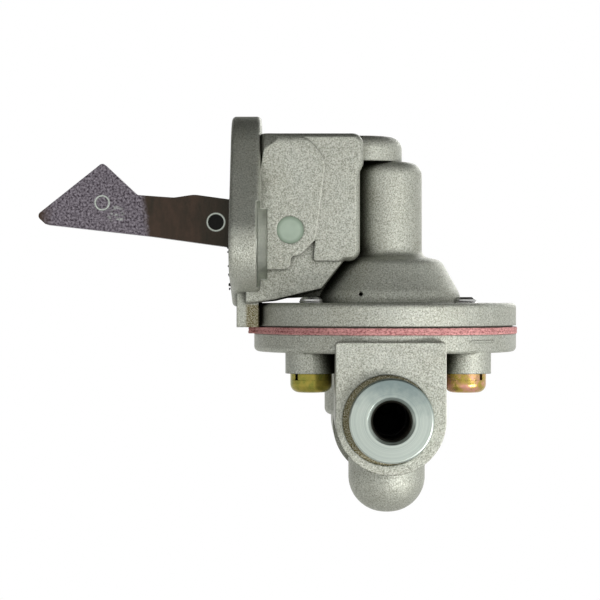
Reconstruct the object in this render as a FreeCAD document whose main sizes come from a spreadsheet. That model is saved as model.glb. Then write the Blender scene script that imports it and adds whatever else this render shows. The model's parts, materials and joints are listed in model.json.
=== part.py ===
import FreeCAD, Part
import math
import os
from types import SimpleNamespace

import Sketcher

# Fuel feed pump worked by a cam: a rocker arm lifts a diaphragm through a link and a pull rod.
# The origin is on the mounting face, midway between the two bolt holes. +X points away from the
# engine, +Z up. The inlet port is on the near side, at -Y. All lengths are in millimetres.

# Driving sizes. Each one is a cell of the sheet named Sizes.
SIZES = {
    # Mounting flange
    "bolt_spacing": 40.0,
    "bolt_hole_radius": 4.25,
    "flange_thickness": 6.7,
    "flange_ear_radius": 8.0,
    "flange_lobe_rise": 14.1,
    "flange_lobe_radius": 16.0,
    "flange_foot_drop": 3.0,
    "flange_foot_radius": 10.5,
    "flange_edge_round": 1.0,
    "spot_face_radius": 10.0,
    "spot_face_cut": 0.8,
    "spot_face_reach": 1.4,
    "tab_set_back": 1.3,
    "tab_thickness": 4.9,
    "tab_half_width": 12.0,
    # Arm chamber, its faces and the pad round the pivot
    "chamber_half_width": 14.5,
    "chamber_top": 25.3,
    "chamber_overlap": 2.4,
    "chamber_brow": 0.8,
    "chamber_brow_low": 17.6,
    "chamber_brow_half": 0.8,
    "chamber_brow_round": 1.2,
    "chamber_shelf": -3.3,
    "chamber_edge_round": 2.4,
    "chamber_corner_round": 2.5,
    "shelf_corner_round": 0.5,
    "web_foot_start": 9.7,
    "web_foot_slope": 0.6,
    "web_foot_sink": 0.2,
    "web_foot_round": 6.0,
    "web_corner_round": 0.8,
    "web_foot_end": 20.4,
    "web_foot_rise": 3.0,
    "web_slope_run": 4.9,
    "keel_half_width": 8.5,
    "keel_end": 21.4,
    "keel_low": 0.7,
    "keel_rise": 1.5,
    "cheek_left": 18.4,
    "cheek_recess": 0.5,
    "web_recess": 1.2,
    "pad_left_top": 21.5,
    "pad_top": 24.3,
    "pad_right": 21.3,
    "pad_shoulder": 19.4,
    "pad_waist": 1.4,
    "pad_waist_cut": 2.4,
    "pad_bottom": -2.2,
    "pad_toe": -5.2,
    "pad_toe_width": 5.0,
    "pad_toe_round": 1.3,
    "pad_step_lean": 0.4,
    "pad_step_round": 0.8,
    "pad_step_run": 2.2,
    "pad_foot_round": 3.0,
    "pad_waist_round": 5.0,
    "pad_shoulder_round": 6.0,
    "pad_top_run": 4.3,
    "pad_top_round": 3.5,
    "pad_brow_run": 3.2,
    "pad_brow_round": 3.0,
    "brow_groove_inset": 1.2,
    "brow_groove_run": 0.8,
    "brow_relief_radius": 16.3,
    "brow_relief_spread": 1.7,
    "brow_relief_run": 5.7,
    "arm_room_half_width": 7.0,
    "arm_room_floor": -4.0,
    "arm_room_top": 21.5,
    "arm_room_end_wall": 3.0,
    "arm_room_sill": -0.8,
    "arm_room_ramp_start": 8.0,
    "arm_room_ramp_end": 3.5,
    "arm_room_floor_round": 1.0,
    "arm_room_top_round": 2.0,
    # Roof over the tower
    "roof_thickness": 5.8,
    "roof_half_width": 9.0,
    "roof_reach": 3.9,
    "roof_edge_round": 2.8,
    # Tower, skirt and upper diaphragm flange
    "tower_radius": 8.5,
    "tower_edge_round": 3.0,
    "tower_foot_round": 1.8,
    "skirt_top": -2.0,
    "skirt_shoulder": 4.4,
    "skirt_shoulder_drop": 0.9,
    "skirt_shoulder_round": 2.8,
    "skirt_set_back": 12.8,
    "skirt_foot_height": 2.0,
    "skirt_foot_round": 4.0,
    "skirt_draft": 0.1,
    "rim_radius": 30.0,
    "rim_set_off": 5.0,
    "upper_rim_top": -12.65,
    "upper_rim_thickness": 5.45,
    "rim_edge_round": 1.1,
    "rim_relief_height": 0.35,
    "rim_relief_depth": 0.8,
    "rod_room_radius": 5.3,
    "rod_room_floor": 0.7,
    "rod_room_top": 16.3,
    "air_room_top": -4.8,
    "air_room_radius": 10.0,
    "air_room_neck": 2.4,
    "air_room_wall": 3.4,
    "air_room_waist_drop": 7.8,
    "air_room_rim_height": 1.9,
    "clamp_width": 9.8,
    "breather_radius": 0.45,
    "breather_offset": 6.0,
    "breather_drop": 10.7,
    # Diaphragm and what clamps it
    "sheet_thickness": 0.75,
    "sheet_overhang": 0.35,
    "sheet_tab_reach": 1.0,
    "sheet_tab_half_width": 5.0,
    "sheet_sag": 2.2,
    "sheet_bend": 0.4,
    "sheet_clamp_gap": 0.6,
    "plate_radius": 10.8,
    "plate_thickness": 1.2,
    "plate_lip": 0.9,
    "plate_round": 1.0,
    "rod_radius": 2.5,
    "rod_head_radius": 4.6,
    "rod_head_thickness": 2.0,
    "rod_collar_radius": 3.8,
    "rod_collar_thickness": 1.0,
    "rod_rivet_radius": 3.6,
    "rod_rivet_thickness": 1.2,
    "rod_end_round": 0.8,
    "seal_radius": 6.0,
    "seal_depth": 3.0,
    "seal_lip_thickness": 0.9,
    "seal_lip_edge": 0.5,
    "seal_lip_drop": 0.6,
    "retainer_radius": 9.4,
    "retainer_thickness": 0.8,
    "retainer_spigot": 1.0,
    "retainer_round": 0.5,
    "main_spring_radius": 7.6,
    "main_spring_wire": 0.75,
    "main_spring_turns": 4.5,
    # Rocker arm, link and pivot
    "pivot_forward": 13.3,
    "pivot_rise": 3.6,
    "pivot_pin_radius": 3.0,
    "pivot_plug_depth": 2.6,
    "arm_thickness": 6.0,
    "arm_hub_radius": 5.5,
    "arm_heel_reach": 10.0,
    "arm_heel_drop": 1.5,
    "arm_heel_radius": 2.0,
    "arm_tip_reach": 44.8,
    "arm_tip_rise": 7.3,
    "arm_tip_round": 1.0,
    "arm_nose_reach": 42.6,
    "arm_nose_rise": 5.3,
    "arm_nose_round": 0.8,
    "arm_apex_reach": 29.6,
    "arm_apex_rise": 19.4,
    "arm_apex_round": 0.9,
    "arm_notch_reach": 21.7,
    "arm_notch_rise": 12.0,
    "arm_notch_round": 1.5,
    "arm_neck_reach": 8.7,
    "arm_neck_rise": 12.1,
    "arm_neck_round": 6.0,
    "arm_dip_run": 4.6,
    "arm_dip_drop": 0.7,
    "arm_belly_reach": 19.0,
    "arm_belly_rise": 2.6,
    "arm_belly_round": 30.0,
    "arm_mark_reach": 29.7,
    "arm_mark_rise": 10.2,
    "arm_mark_radius": 1.6,
    "arm_mark_width": 0.4,
    "arm_mark_depth": 0.15,
    "arm_dimple_reach": 3.7,
    "arm_dimple_rise": 5.8,
    "arm_dimple_radius": 1.8,
    "arm_dimple_depth": 1.0,
    "link_cheek_thickness": 1.5,
    "link_hub_radius": 5.0,
    "link_knuckle_radius": 2.2,
    "link_knuckle_rise": 1.8,
    "link_bridge_start": 10.7,
    "link_bridge_end": 14.2,
    "arm_spring_forward": 6.6,
    "arm_spring_radius": 2.8,
    "arm_spring_wire": 0.4,
    "arm_spring_turns": 5.0,
    "arm_spring_pocket_radius": 3.9,
    "arm_spring_pocket_depth": 5.5,
    # Lower body
    "lower_rim_thickness": 4.1,
    "boss_radius": 5.7,
    "boss_bottom": -28.2,
    "valve_body_radius": 13.85,
    "valve_body_bottom": -38.2,
    "valve_body_round": 1.5,
    "well_radius": 11.6,
    "well_floor": -24.8,
    "dish_depth": 0.7,
    "dish_slope_drop": 2.9,
    "port_block_half_width": 11.9,
    "port_block_top": -21.1,
    "port_block_face": 31.0,
    "port_block_corner": 0.8,
    "inlet_port_height": -37.8,
    "outlet_port_height": -40.7,
    "port_seat_radius": 9.75,
    "port_seat_shift": 0.7,
    "port_seat_depth": 0.4,
    "passage_radius": 3.6,
    "dome_forward": 9.0,
    "dome_radius": 8.6,
    "dome_centre": -51.0,
    "dome_wall": 2.8,
    "dome_flat": 0.5,
    # Port adaptors
    "adaptor_radius": 9.05,
    "adaptor_stand": 3.9,
    "adaptor_edge": 0.5,
    "adaptor_spigot_radius": 6.6,
    "adaptor_spigot_length": 9.0,
    "port_thread_radius": 4.3,
    "port_mouth_radius": 5.1,
    # Valves
    "valve_offset": 7.4,
    "valve_bore_radius": 4.6,
    "valve_bore_floor": -33.5,
    "valve_seat_thickness": 2.0,
    "valve_port_radius": 2.4,
    "valve_disc_radius": 3.4,
    "valve_disc_thickness": 1.0,
    "valve_height": 7.5,
    "valve_cage_wall": 0.7,
    "valve_cage_hole_radius": 0.9,
    "valve_cage_hole_pitch": 2.6,
    "valve_spring_radius": 1.2,
    "valve_spring_wire": 0.18,
    "valve_spring_turns": 4.0,
    # Screws and washers
    "screw_edge": 5.9,
    "screw_radius": 2.45,
    "screw_tip_stand": 1.3,
    "screw_tip_bevel": 0.5,
    "screw_head_radius": 4.6,
    "screw_head_height": 2.8,
    "screw_head_round": 1.9,
    "screw_cross_width": 1.2,
    "screw_cross_length": 5.0,
    "screw_cross_depth": 1.4,
    "washer_radius": 4.6,
    "washer_thickness": 1.4,
    "washer_gap": 0.9,
    # Clearances
    "running_fit": 0.05,
    "seat_gap": 0.3,
    "valve_seat_gap": 0.05,
    "screw_hole_fit": 0.3,
}

BOLT_SIDES = (1, -1)
SCREW_ANGLES = (45.0, 135.0, 225.0, 315.0)
NEAR = 1
FAR = -1
OUT = 5.0
PAST = 1.0
WIRE_SIDES = 8


class Size:
    """A length held both as a number and as the formula that gives it from the sheet."""

    def __init__(self, value, text):
        self.value = value
        self.text = text

    def __add__(self, other):
        other = as_size(other)
        return Size(self.value + other.value, f"({self.text} + {other.text})")

    def __sub__(self, other):
        other = as_size(other)
        return Size(self.value - other.value, f"({self.text} - {other.text})")

    def __mul__(self, other):
        other = as_size(other)
        return Size(self.value * other.value, f"({self.text} * {other.text})")

    def __truediv__(self, other):
        other = as_size(other)
        return Size(self.value / other.value, f"({self.text} / {other.text})")

    def __neg__(self):
        return Size(-self.value, f"(0 - {self.text})")

    __radd__ = __add__
    __rmul__ = __mul__

    def __rsub__(self, other):
        return as_size(other) - self


def as_size(value):
    return value if isinstance(value, Size) else Size(float(value), repr(float(value)))


def cosine(angle):
    return Size(math.cos(math.radians(angle)), f"cos({angle})")


def sine(angle):
    return Size(math.sin(math.radians(angle)), f"sin({angle})")


doc = FreeCAD.newDocument("FuelFeedPump")
sheet = doc.addObject("Spreadsheet::Sheet", "Sizes")
for row, (word, number) in enumerate(SIZES.items(), 1):
    sheet.set(f"A{row}", word)
    sheet.set(f"B{row}", str(number))
    sheet.setAlias(f"B{row}", word)
doc.recompute()
s = SimpleNamespace(**{word: Size(number, f"Sizes.{word}") for word, number in SIZES.items()})

PARTS = []


# Working with the document


def bind(item, prop, size):
    item.setExpression(prop, as_size(size).text)


def place(item, x=0.0, y=0.0, z=0.0, rotation=None):
    """Put a finished sub-part at a point that follows the sheet."""
    if rotation:
        item.Placement = FreeCAD.Placement(FreeCAD.Vector(), rotation)
    for axis, size in zip("xyz", (x, y, z)):
        bind(item, f"Placement.Base.{axis}", size)


def new_body(name):
    body = doc.addObject("PartDesign::Body", name)
    body.Label = name
    PARTS.append(body)
    return body


def new_sketch(body, name, plane, height=0.0, x=0.0, y=0.0):
    """A sketch on an origin plane of the body, moved along the plane's normal and in it."""
    sketch = body.newObject("Sketcher::SketchObject", name)
    origin = next(o for o in body.Origin.OriginFeatures if o.Role == f"{plane}_Plane")
    sketch.AttachmentSupport = [(origin, "")]
    sketch.MapMode = "FlatFace"
    for axis, size in zip("xyz", (x, y, height)):
        bind(sketch, f"AttachmentOffset.Base.{axis}", size)
    return sketch


def fix(sketch, kind, *where):
    """Add a dimension whose last item is a size, and tie it to the sheet."""
    size = as_size(where[-1])
    index = sketch.addConstraint(Sketcher.Constraint(kind, *where[:-1], size.value))
    sketch.setExpression(f"Constraints[{index}]", size.text)


def pin_point(sketch, geometry, vertex, x, y):
    fix(sketch, "DistanceX", -1, 1, geometry, vertex, x)
    fix(sketch, "DistanceY", -1, 1, geometry, vertex, y)


def flat(x, y):
    return FreeCAD.Vector(as_size(x).value, as_size(y).value, 0)


def circle(x, y, radius):
    def draw(sketch):
        centre = flat(x, y)
        shape = Part.Circle(centre, FreeCAD.Vector(0, 0, 1), as_size(radius).value)
        index = sketch.addGeometry(shape, False)
        fix(sketch, "Radius", index, radius)
        pin_point(sketch, index, 3, x, y)
    return draw


def add_arc(sketch, start, middle, end):
    """An arc through three points; returns its index and its vertex numbers at start and end."""
    if (middle - start).cross(end - middle).z > 0:
        return sketch.addGeometry(Part.Arc(start, middle, end), False), 1, 2
    return sketch.addGeometry(Part.Arc(end, middle, start), False), 2, 1


def belt(*circles):
    """A closed loop round circles given counter-clockwise as (x, y, radius)."""
    def draw(sketch):
        tangents = []
        for here, after in zip(circles, circles[1:] + circles[:1]):
            first = flat(here[0], here[1])
            second = flat(after[0], after[1])
            along = second - first
            span = along.Length
            along.normalize()
            lean = (as_size(here[2]).value - as_size(after[2]).value) / span
            right = FreeCAD.Vector(along.y, -along.x, 0)
            normal = along * lean + right * math.sqrt(1 - lean * lean)
            tangents.append((first + normal * as_size(here[2]).value,
                             second + normal * as_size(after[2]).value, normal))
        lines = [sketch.addGeometry(Part.LineSegment(a, b), False) for a, b, _ in tangents]
        for i, (x, y, radius) in enumerate(circles):
            start = tangents[i - 1][1]
            end = tangents[i][0]
            centre = flat(x, y)
            turn = tangents[i - 1][2].getAngle(tangents[i][2])
            cross = tangents[i - 1][2].cross(tangents[i][2]).z
            turn = turn if cross > 0 else 2 * math.pi - turn
            middle = FreeCAD.Rotation(FreeCAD.Vector(0, 0, 1), math.degrees(turn / 2))
            middle = centre + middle.multVec(start - centre)
            arc, first, last = add_arc(sketch, start, middle, end)
            sketch.addConstraint(Sketcher.Constraint("Tangent", lines[i - 1], 2, arc, first))
            sketch.addConstraint(Sketcher.Constraint("Tangent", arc, last, lines[i], 1))
            fix(sketch, "Radius", arc, radius)
            pin_point(sketch, arc, 3, x, y)
    return draw


def outline(*corners):
    """A closed loop of straight lines through corners (x, y) or, rounded, (x, y, radius)."""
    def draw(sketch):
        spots = [flat(c[0], c[1]) for c in corners]
        ends = []
        for i, corner in enumerate(corners):
            if len(corner) == 2:
                ends.append((spots[i], spots[i], None))
                continue
            back = (spots[i - 1] - spots[i]).normalize()
            ahead = (spots[(i + 1) % len(spots)] - spots[i]).normalize()
            half = back.getAngle(ahead) / 2
            radius = as_size(corner[2]).value
            step = radius / math.tan(half)
            middle = (back + ahead).normalize() * (radius / math.sin(half) - radius)
            ends.append((spots[i] + back * step, spots[i] + ahead * step, spots[i] + middle))
        lines = []
        for i in range(len(corners)):
            after = ends[(i + 1) % len(corners)]
            lines.append(sketch.addGeometry(Part.LineSegment(ends[i][1], after[0]), False))
        for i, corner in enumerate(corners):
            if len(corner) == 2:
                joint = Sketcher.Constraint("Coincident", lines[i - 1], 2, lines[i], 1)
                sketch.addConstraint(joint)
                pin_point(sketch, lines[i], 1, corner[0], corner[1])
                continue
            start, end, middle = ends[i]
            arc, first, last = add_arc(sketch, start, middle, end)
            sketch.addConstraint(Sketcher.Constraint("Tangent", lines[i - 1], 2, arc, first))
            sketch.addConstraint(Sketcher.Constraint("Tangent", arc, last, lines[i], 1))
            fix(sketch, "Radius", arc, corner[2])
            apex = sketch.addGeometry(Part.Point(spots[i]), True)
            sketch.addConstraint(Sketcher.Constraint("PointOnObject", apex, 1, lines[i - 1]))
            sketch.addConstraint(Sketcher.Constraint("PointOnObject", apex, 1, lines[i]))
            pin_point(sketch, apex, 1, corner[0], corner[1])
    return draw


def box_loop(x0, y0, x1, y1):
    return outline((x0, y0), (x1, y0), (x1, y1), (x0, y1))


def finish_feature(body, feature, cut):
    """Recompute and make sure that the feature did what it is for."""
    before = feature.BaseFeature.Shape.Volume if feature.BaseFeature else 0.0
    doc.recompute()
    after = feature.Shape.Volume
    assert (after < before) if cut else (after > before), feature.Name
    body.Tip = feature
    return feature


def slab(body, name, plane, start, end, *loops, cut=False):
    """Add or cut the drawn loops from start to end along the normal of the plane.

    The normals are +Z for XY, +X for YZ, and -Y, the near side, for XZ.
    """
    sketch = new_sketch(body, f"{name}_sketch", plane, start)
    for draw in loops:
        draw(sketch)
    feature = body.newObject("PartDesign::Pocket" if cut else "PartDesign::Pad", name)
    feature.Profile = sketch
    feature.Reversed = cut
    bind(feature, "Length", as_size(end) - start)
    return finish_feature(body, feature, cut)


def turned(body, name, *loops, x=0.0, near=0.0, cut=False):
    """Add or cut the drawn loops, turned round a vertical axis."""
    sketch = new_sketch(body, f"{name}_sketch", "XZ", near, x)
    for draw in loops:
        draw(sketch)
    feature = body.newObject("PartDesign::Groove" if cut else "PartDesign::Revolution", name)
    feature.Profile = sketch
    feature.ReferenceAxis = (sketch, ["V_Axis"])
    feature.Angle = 360.0
    return finish_feature(body, feature, cut)


def round_edges(body, name, radius, wanted):
    """Fillet the edges of the body so far that the test picks."""
    base = body.Tip
    names = [f"Edge{i}" for i, edge in enumerate(base.Shape.Edges, 1) if wanted(edge)]
    assert names, name
    feature = body.newObject("PartDesign::Fillet", name)
    feature.Base = (base, names)
    bind(feature, "Radius", radius)
    doc.recompute()
    body.Tip = feature
    return feature


def near_to(value, size):
    return abs(value - as_size(size).value) < 1e-3


def level_at(edge, axis, size):
    """True if the whole edge lies in the plane where the axis has this value."""
    low = getattr(edge.BoundBox, f"{axis}Min")
    high = getattr(edge.BoundBox, f"{axis}Max")
    return near_to(low, size) and near_to(high, size)


def coil(name, radius, wire, turns, length, x, near, z):
    """A coil spring that stands on (x, -near, z), its wire inside the length and eight-sided."""
    helix = doc.addObject("Part::Helix", f"{name}_path")
    rise = as_size(length) - wire * 2
    bind(helix, "Radius", radius)
    bind(helix, "Pitch", rise / turns)
    bind(helix, "Height", rise)
    section = doc.addObject("Part::RegularPolygon", f"{name}_section")
    section.Polygon = WIRE_SIDES
    bind(section, "Circumradius", wire)
    section.Placement = FreeCAD.Placement(FreeCAD.Vector(), FreeCAD.Rotation(FreeCAD.Vector(1, 0, 0), 90))
    bind(section, "Placement.Base.x", radius)
    spring = doc.addObject("Part::Sweep", name)
    spring.Sections = [section]
    spring.Spine = (helix, ["Edge1"])
    spring.Solid = True
    spring.Frenet = True
    spring.Label = name
    place(spring, x, -as_size(near), as_size(z) + wire)
    PARTS.append(spring)
    return spring


# Places worked out from the sizes

bolt_reach = s.bolt_spacing / 2
tower_axis = s.rim_set_off + s.rim_radius
chamber_end = tower_axis - s.tower_radius + s.chamber_overlap
roof_centre = tower_axis + s.roof_reach - s.roof_half_width
dish_radius = s.rim_radius - s.clamp_width
skirt_foot_radius = s.rim_radius - s.skirt_set_back
screw_pitch_radius = s.rim_radius - s.screw_edge
rim_bottom = s.upper_rim_top - s.upper_rim_thickness
clamp_bottom = rim_bottom - s.sheet_thickness * 2
lower_rim_bottom = clamp_bottom - s.lower_rim_thickness
screw_hole_radius = s.screw_radius + s.screw_hole_fit
tower_top = s.chamber_top - s.roof_thickness
pin_bore_radius = s.pivot_pin_radius + s.running_fit
rod_bore_radius = s.rod_radius + s.running_fit
seal_top = s.air_room_top + s.retainer_spigot + s.seal_depth
sheets_top = rim_bottom - s.sheet_sag
sheets_bottom = sheets_top - s.sheet_thickness * 2
upper_plate_top = sheets_top + s.plate_thickness
lower_plate_bottom = sheets_bottom - s.plate_thickness
knuckle_height = s.pivot_rise + s.link_knuckle_rise
rod_head_bottom = knuckle_height + s.link_knuckle_radius + s.seat_gap
spring_pocket_floor = s.arm_room_floor - s.arm_spring_pocket_depth
link_inner = s.arm_thickness / 2 + s.seat_gap
valve_origins = {
    "inlet": (NEAR, s.valve_bore_floor),
    "outlet": (FAR, s.valve_bore_floor + s.valve_height),
}


def pad_outline():
    """The raised pad round the pivot, in X and Z."""
    left = s.flange_thickness / 2
    return [
        (left, s.pad_toe),
        *pad_foot(),
        (s.pad_right - s.pad_waist_cut, s.pad_waist, s.pad_waist_round),
        (s.pad_right, s.pad_shoulder, s.pad_shoulder_round),
        (s.pad_right - s.pad_top_run, s.pad_top, s.pad_top_round),
        (s.flange_thickness + s.pad_brow_run, s.pad_top, s.pad_brow_round),
        (s.flange_thickness, s.pad_left_top),
        (left, s.pad_left_top),
    ]


def pad_foot():
    """The pad's stepped lower boundary, from the toe up to the waist."""
    toe_end = s.flange_thickness + s.spot_face_reach + s.pad_toe_width
    return [
        (toe_end, s.pad_toe, s.pad_toe_round),
        (toe_end + s.pad_step_lean, s.pad_bottom, s.pad_step_round),
        (toe_end + s.pad_step_run, s.pad_bottom, s.pad_foot_round),
    ]


def web_recess():
    """What is cut back below the pad and below the chamber's shelf."""
    return [
        (-OUT, s.pad_toe),
        *pad_foot(),
        (s.pad_right - s.pad_waist_cut, s.pad_waist),
        (s.cheek_left, s.chamber_shelf, s.shelf_corner_round),
        (tower_axis, s.chamber_shelf),
        (tower_axis, s.upper_rim_top - OUT),
        (-OUT, s.upper_rim_top - OUT),
    ]


# Upper casting: flange, arm chamber, roof, tower and upper half of the diaphragm clamp


def upper_body():
    body = new_body("upper_body")
    slab(body, "roof", "XY", tower_top, s.chamber_top,
         belt((roof_centre / 2, 0, s.roof_half_width), (roof_centre, 0, s.roof_half_width)))
    round_edges(body, "roof_edge", s.roof_edge_round,
                lambda e: level_at(e, "Z", s.chamber_top))
    chamber_block(body)
    turned(body, "tower", outline(
        (0, tower_top), (s.tower_radius, tower_top, s.tower_edge_round),
        (s.tower_radius, s.skirt_top, s.tower_foot_round),
        (s.tower_radius + s.skirt_shoulder, s.skirt_top - s.skirt_shoulder_drop,
         s.skirt_shoulder_round),
        (skirt_foot_radius, s.upper_rim_top + s.skirt_foot_height, s.skirt_foot_round),
        (skirt_foot_radius + s.skirt_draft, s.upper_rim_top),
        (s.rim_radius, s.upper_rim_top, s.rim_edge_round),
        (s.rim_radius, rim_bottom + s.rim_relief_height),
        (s.rim_radius - s.rim_relief_depth, rim_bottom + s.rim_relief_height),
        (s.rim_radius - s.rim_relief_depth, rim_bottom), (0, rim_bottom)), x=tower_axis)
    mounting_flange(body)
    hollow_upper_body(body)


def chamber_block(body):
    """The arm chamber's outside, with a raised pad on each side."""
    brow_end = chamber_end + s.chamber_brow
    foot = s.upper_rim_top - s.web_foot_sink
    slab(body, "chamber", "XZ", -s.chamber_half_width, s.chamber_half_width,
         outline((s.flange_thickness / 2, foot),
                 (s.web_foot_start, foot + s.web_foot_slope, s.web_foot_round),
                 (s.web_foot_end, s.upper_rim_top + s.web_foot_rise, s.web_corner_round),
                 (s.web_foot_end + s.web_slope_run, s.chamber_shelf, s.shelf_corner_round),
                 (chamber_end, s.chamber_shelf, s.chamber_corner_round),
                 (chamber_end, s.chamber_brow_low - s.chamber_brow_half, s.chamber_brow_round),
                 (brow_end, s.chamber_brow_low + s.chamber_brow_half, s.chamber_brow_round),
                 (brow_end, s.chamber_top, s.chamber_corner_round),
                 (s.flange_thickness / 2, s.chamber_top)))
    round_edges(body, "chamber_edges", s.chamber_edge_round, is_chamber_side_edge)
    slab(body, "keel", "XZ", -s.keel_half_width, s.keel_half_width,
         outline((s.web_foot_start / 2, s.upper_rim_top + s.keel_low),
                 (s.keel_end, s.upper_rim_top + s.keel_rise),
                 (s.keel_end, s.chamber_shelf + PAST),
                 (s.web_foot_start / 2, s.chamber_shelf + PAST)))
    for side in (NEAR, FAR):
        word = "near" if side == NEAR else "far"
        side_cut(body, f"cheek_recess_{word}", side, s.cheek_recess,
                 box_loop(-OUT, s.upper_rim_top - OUT, tower_axis, s.chamber_top + OUT),
                 outline(*pad_outline()))
        side_cut(body, f"web_recess_{word}", side, s.web_recess, outline(*web_recess()))
    brow_relief(body)


def brow_relief(body):
    """Cut that trims the chamber's upper corners, with a groove beside the flange."""
    sketch = new_sketch(body, "brow_relief_sketch", "XZ", 0.0, 0.0, s.flange_lobe_rise)
    start = s.flange_thickness / 2
    end = s.flange_thickness + s.brow_relief_run
    wide = s.brow_relief_radius + s.brow_relief_spread
    inside = s.flange_lobe_radius - s.brow_groove_inset
    outline((start, inside), (s.flange_thickness, inside),
            (s.flange_thickness + s.brow_groove_run, s.brow_relief_radius),
            (end, wide), (end, wide + OUT), (start, wide + OUT))(sketch)
    feature = body.newObject("PartDesign::Groove", "brow_relief")
    feature.Profile = sketch
    feature.ReferenceAxis = (sketch, ["H_Axis"])
    feature.Angle = 180.0
    feature.Midplane = True
    finish_feature(body, feature, True)


def side_cut(body, name, side, depth, *loops):
    """Cut the loops into the chamber's near or far face, this deep."""
    face = s.chamber_half_width
    start, end = (face - depth, face + OUT) if side == NEAR else (-face - OUT, depth - face)
    slab(body, name, "XZ", start, end, *loops, cut=True)


def is_chamber_side_edge(edge):
    """The top, the end and the shelf corner of the chamber's two side faces."""
    on_side = any(level_at(edge, "Y", side * s.chamber_half_width) for side in (NEAR, FAR))
    middle = edge.valueAt((edge.FirstParameter + edge.LastParameter) / 2)
    past_flange = middle.x > s.flange_thickness.value / 2 + 0.1
    return on_side and past_flange and middle.z > s.chamber_shelf.value - 0.1


def mounting_flange(body):
    """The two-bolt flange with its spot faces, and the tab below it."""
    slab(body, "tab", "YZ", s.tab_set_back, s.tab_set_back + s.tab_thickness,
         box_loop(-s.tab_half_width, rim_bottom, s.tab_half_width, -s.flange_foot_drop))
    ears = [(side * bolt_reach, 0) for side in BOLT_SIDES]
    slab(body, "mounting_flange", "YZ", 0, s.flange_thickness,
         belt((*ears[0], s.flange_ear_radius),
              (0, s.flange_lobe_rise, s.flange_lobe_radius),
              (*ears[1], s.flange_ear_radius),
              (0, -s.flange_foot_drop, s.flange_foot_radius)))
    round_edges(body, "flange_face_edge", s.flange_edge_round, lambda e: level_at(e, "X", 0))
    round_edges(body, "flange_back_edge", s.flange_edge_round, is_flange_back_edge)
    slab(body, "spot_faces", "YZ", s.flange_thickness - s.spot_face_cut,
         s.flange_thickness + s.spot_face_reach,
         *[circle(*ear, s.spot_face_radius) for ear in ears], cut=True)
    slab(body, "bolt_holes", "YZ", -OUT, s.flange_thickness + OUT,
         *[circle(*ear, s.bolt_hole_radius) for ear in ears], cut=True)


def is_flange_back_edge(edge):
    """The rim of the flange's back, where it is clear of the chamber."""
    reach = max(abs(edge.BoundBox.YMin), abs(edge.BoundBox.YMax))
    return level_at(edge, "X", s.flange_thickness) and reach > s.chamber_half_width.value + 0.1


def hollow_upper_body(body):
    """Room for the arm, the rod's head, the seal and the air above the diaphragm."""
    end = chamber_end - s.arm_room_end_wall
    slab(body, "arm_room", "XZ", -s.arm_room_half_width, s.arm_room_half_width,
         outline((-OUT, s.arm_room_floor),
                 (end - s.arm_room_ramp_start, s.arm_room_floor, s.arm_room_floor_round),
                 (end - s.arm_room_ramp_end, s.arm_room_sill, s.arm_room_floor_round),
                 (end, s.arm_room_sill), (end, s.arm_room_top, s.arm_room_top_round),
                 (-OUT, s.arm_room_top)), cut=True)
    slab(body, "rod_room", "XY", s.rod_room_floor, s.rod_room_top,
         belt((tower_axis - 2 * s.rod_room_radius, 0, s.rod_room_radius),
              (tower_axis, 0, s.rod_room_radius)), cut=True)
    turned(body, "air_room", outline(
        (0, s.air_room_top), (s.air_room_radius, s.air_room_top),
        (s.air_room_radius, s.air_room_top - s.air_room_neck),
        (skirt_foot_radius - s.air_room_wall, s.air_room_top - s.air_room_waist_drop),
        (dish_radius, rim_bottom + s.air_room_rim_height),
        (dish_radius, rim_bottom - OUT), (0, rim_bottom - OUT)), x=tower_axis, cut=True)
    slab(body, "seal_bore", "XY", s.air_room_top - PAST, seal_top,
         circle(tower_axis, 0, s.seal_radius), cut=True)
    slab(body, "rod_bore", "XY", seal_top - PAST, s.rod_room_floor + PAST,
         circle(tower_axis, 0, rod_bore_radius), cut=True)
    slab(body, "pin_bore", "XZ", -s.chamber_half_width - OUT, s.chamber_half_width + OUT,
         circle(s.pivot_forward, s.pivot_rise, pin_bore_radius), cut=True)
    slab(body, "spring_pocket", "XY", spring_pocket_floor, s.arm_room_floor + PAST,
         circle(s.arm_spring_forward, 0, s.arm_spring_pocket_radius), cut=True)
    slab(body, "screw_threads", "XY", rim_bottom - PAST, s.upper_rim_top + PAST,
         *screw_circles(s.screw_radius + s.running_fit), cut=True)
    slab(body, "breather", "XZ", s.air_room_radius, skirt_foot_radius + PAST,
         circle(tower_axis - s.breather_offset, -s.breather_drop, s.breather_radius), cut=True)


def screw_spot(angle):
    return (tower_axis + screw_pitch_radius * cosine(angle), screw_pitch_radius * sine(angle))


def screw_circles(radius):
    return [circle(*screw_spot(angle), radius) for angle in SCREW_ANGLES]


# Lower casting: lower half of the clamp, valve body, port blocks and the dome


def lower_body():
    body = new_body("lower_body")
    turned(body, "rim", outline(
        (0, clamp_bottom), (s.rim_radius, clamp_bottom),
        (s.rim_radius, lower_rim_bottom, s.rim_edge_round),
        (s.valve_body_radius, lower_rim_bottom),
        (s.valve_body_radius, s.valve_body_bottom, s.valve_body_round),
        (0, s.valve_body_bottom)), x=tower_axis)
    slab(body, "bosses", "XY", s.boss_bottom, lower_rim_bottom + PAST,
         *screw_circles(s.boss_radius))
    for word, side, height in (("inlet", NEAR, s.inlet_port_height),
                               ("outlet", FAR, s.outlet_port_height)):
        start, end = side_span(side, 0, s.port_block_face)
        slab(body, f"{word}_block", "XZ", start, end, port_block(height))
    dome(body, "dome", s.dome_radius)
    hollow_lower_body(body)


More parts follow.
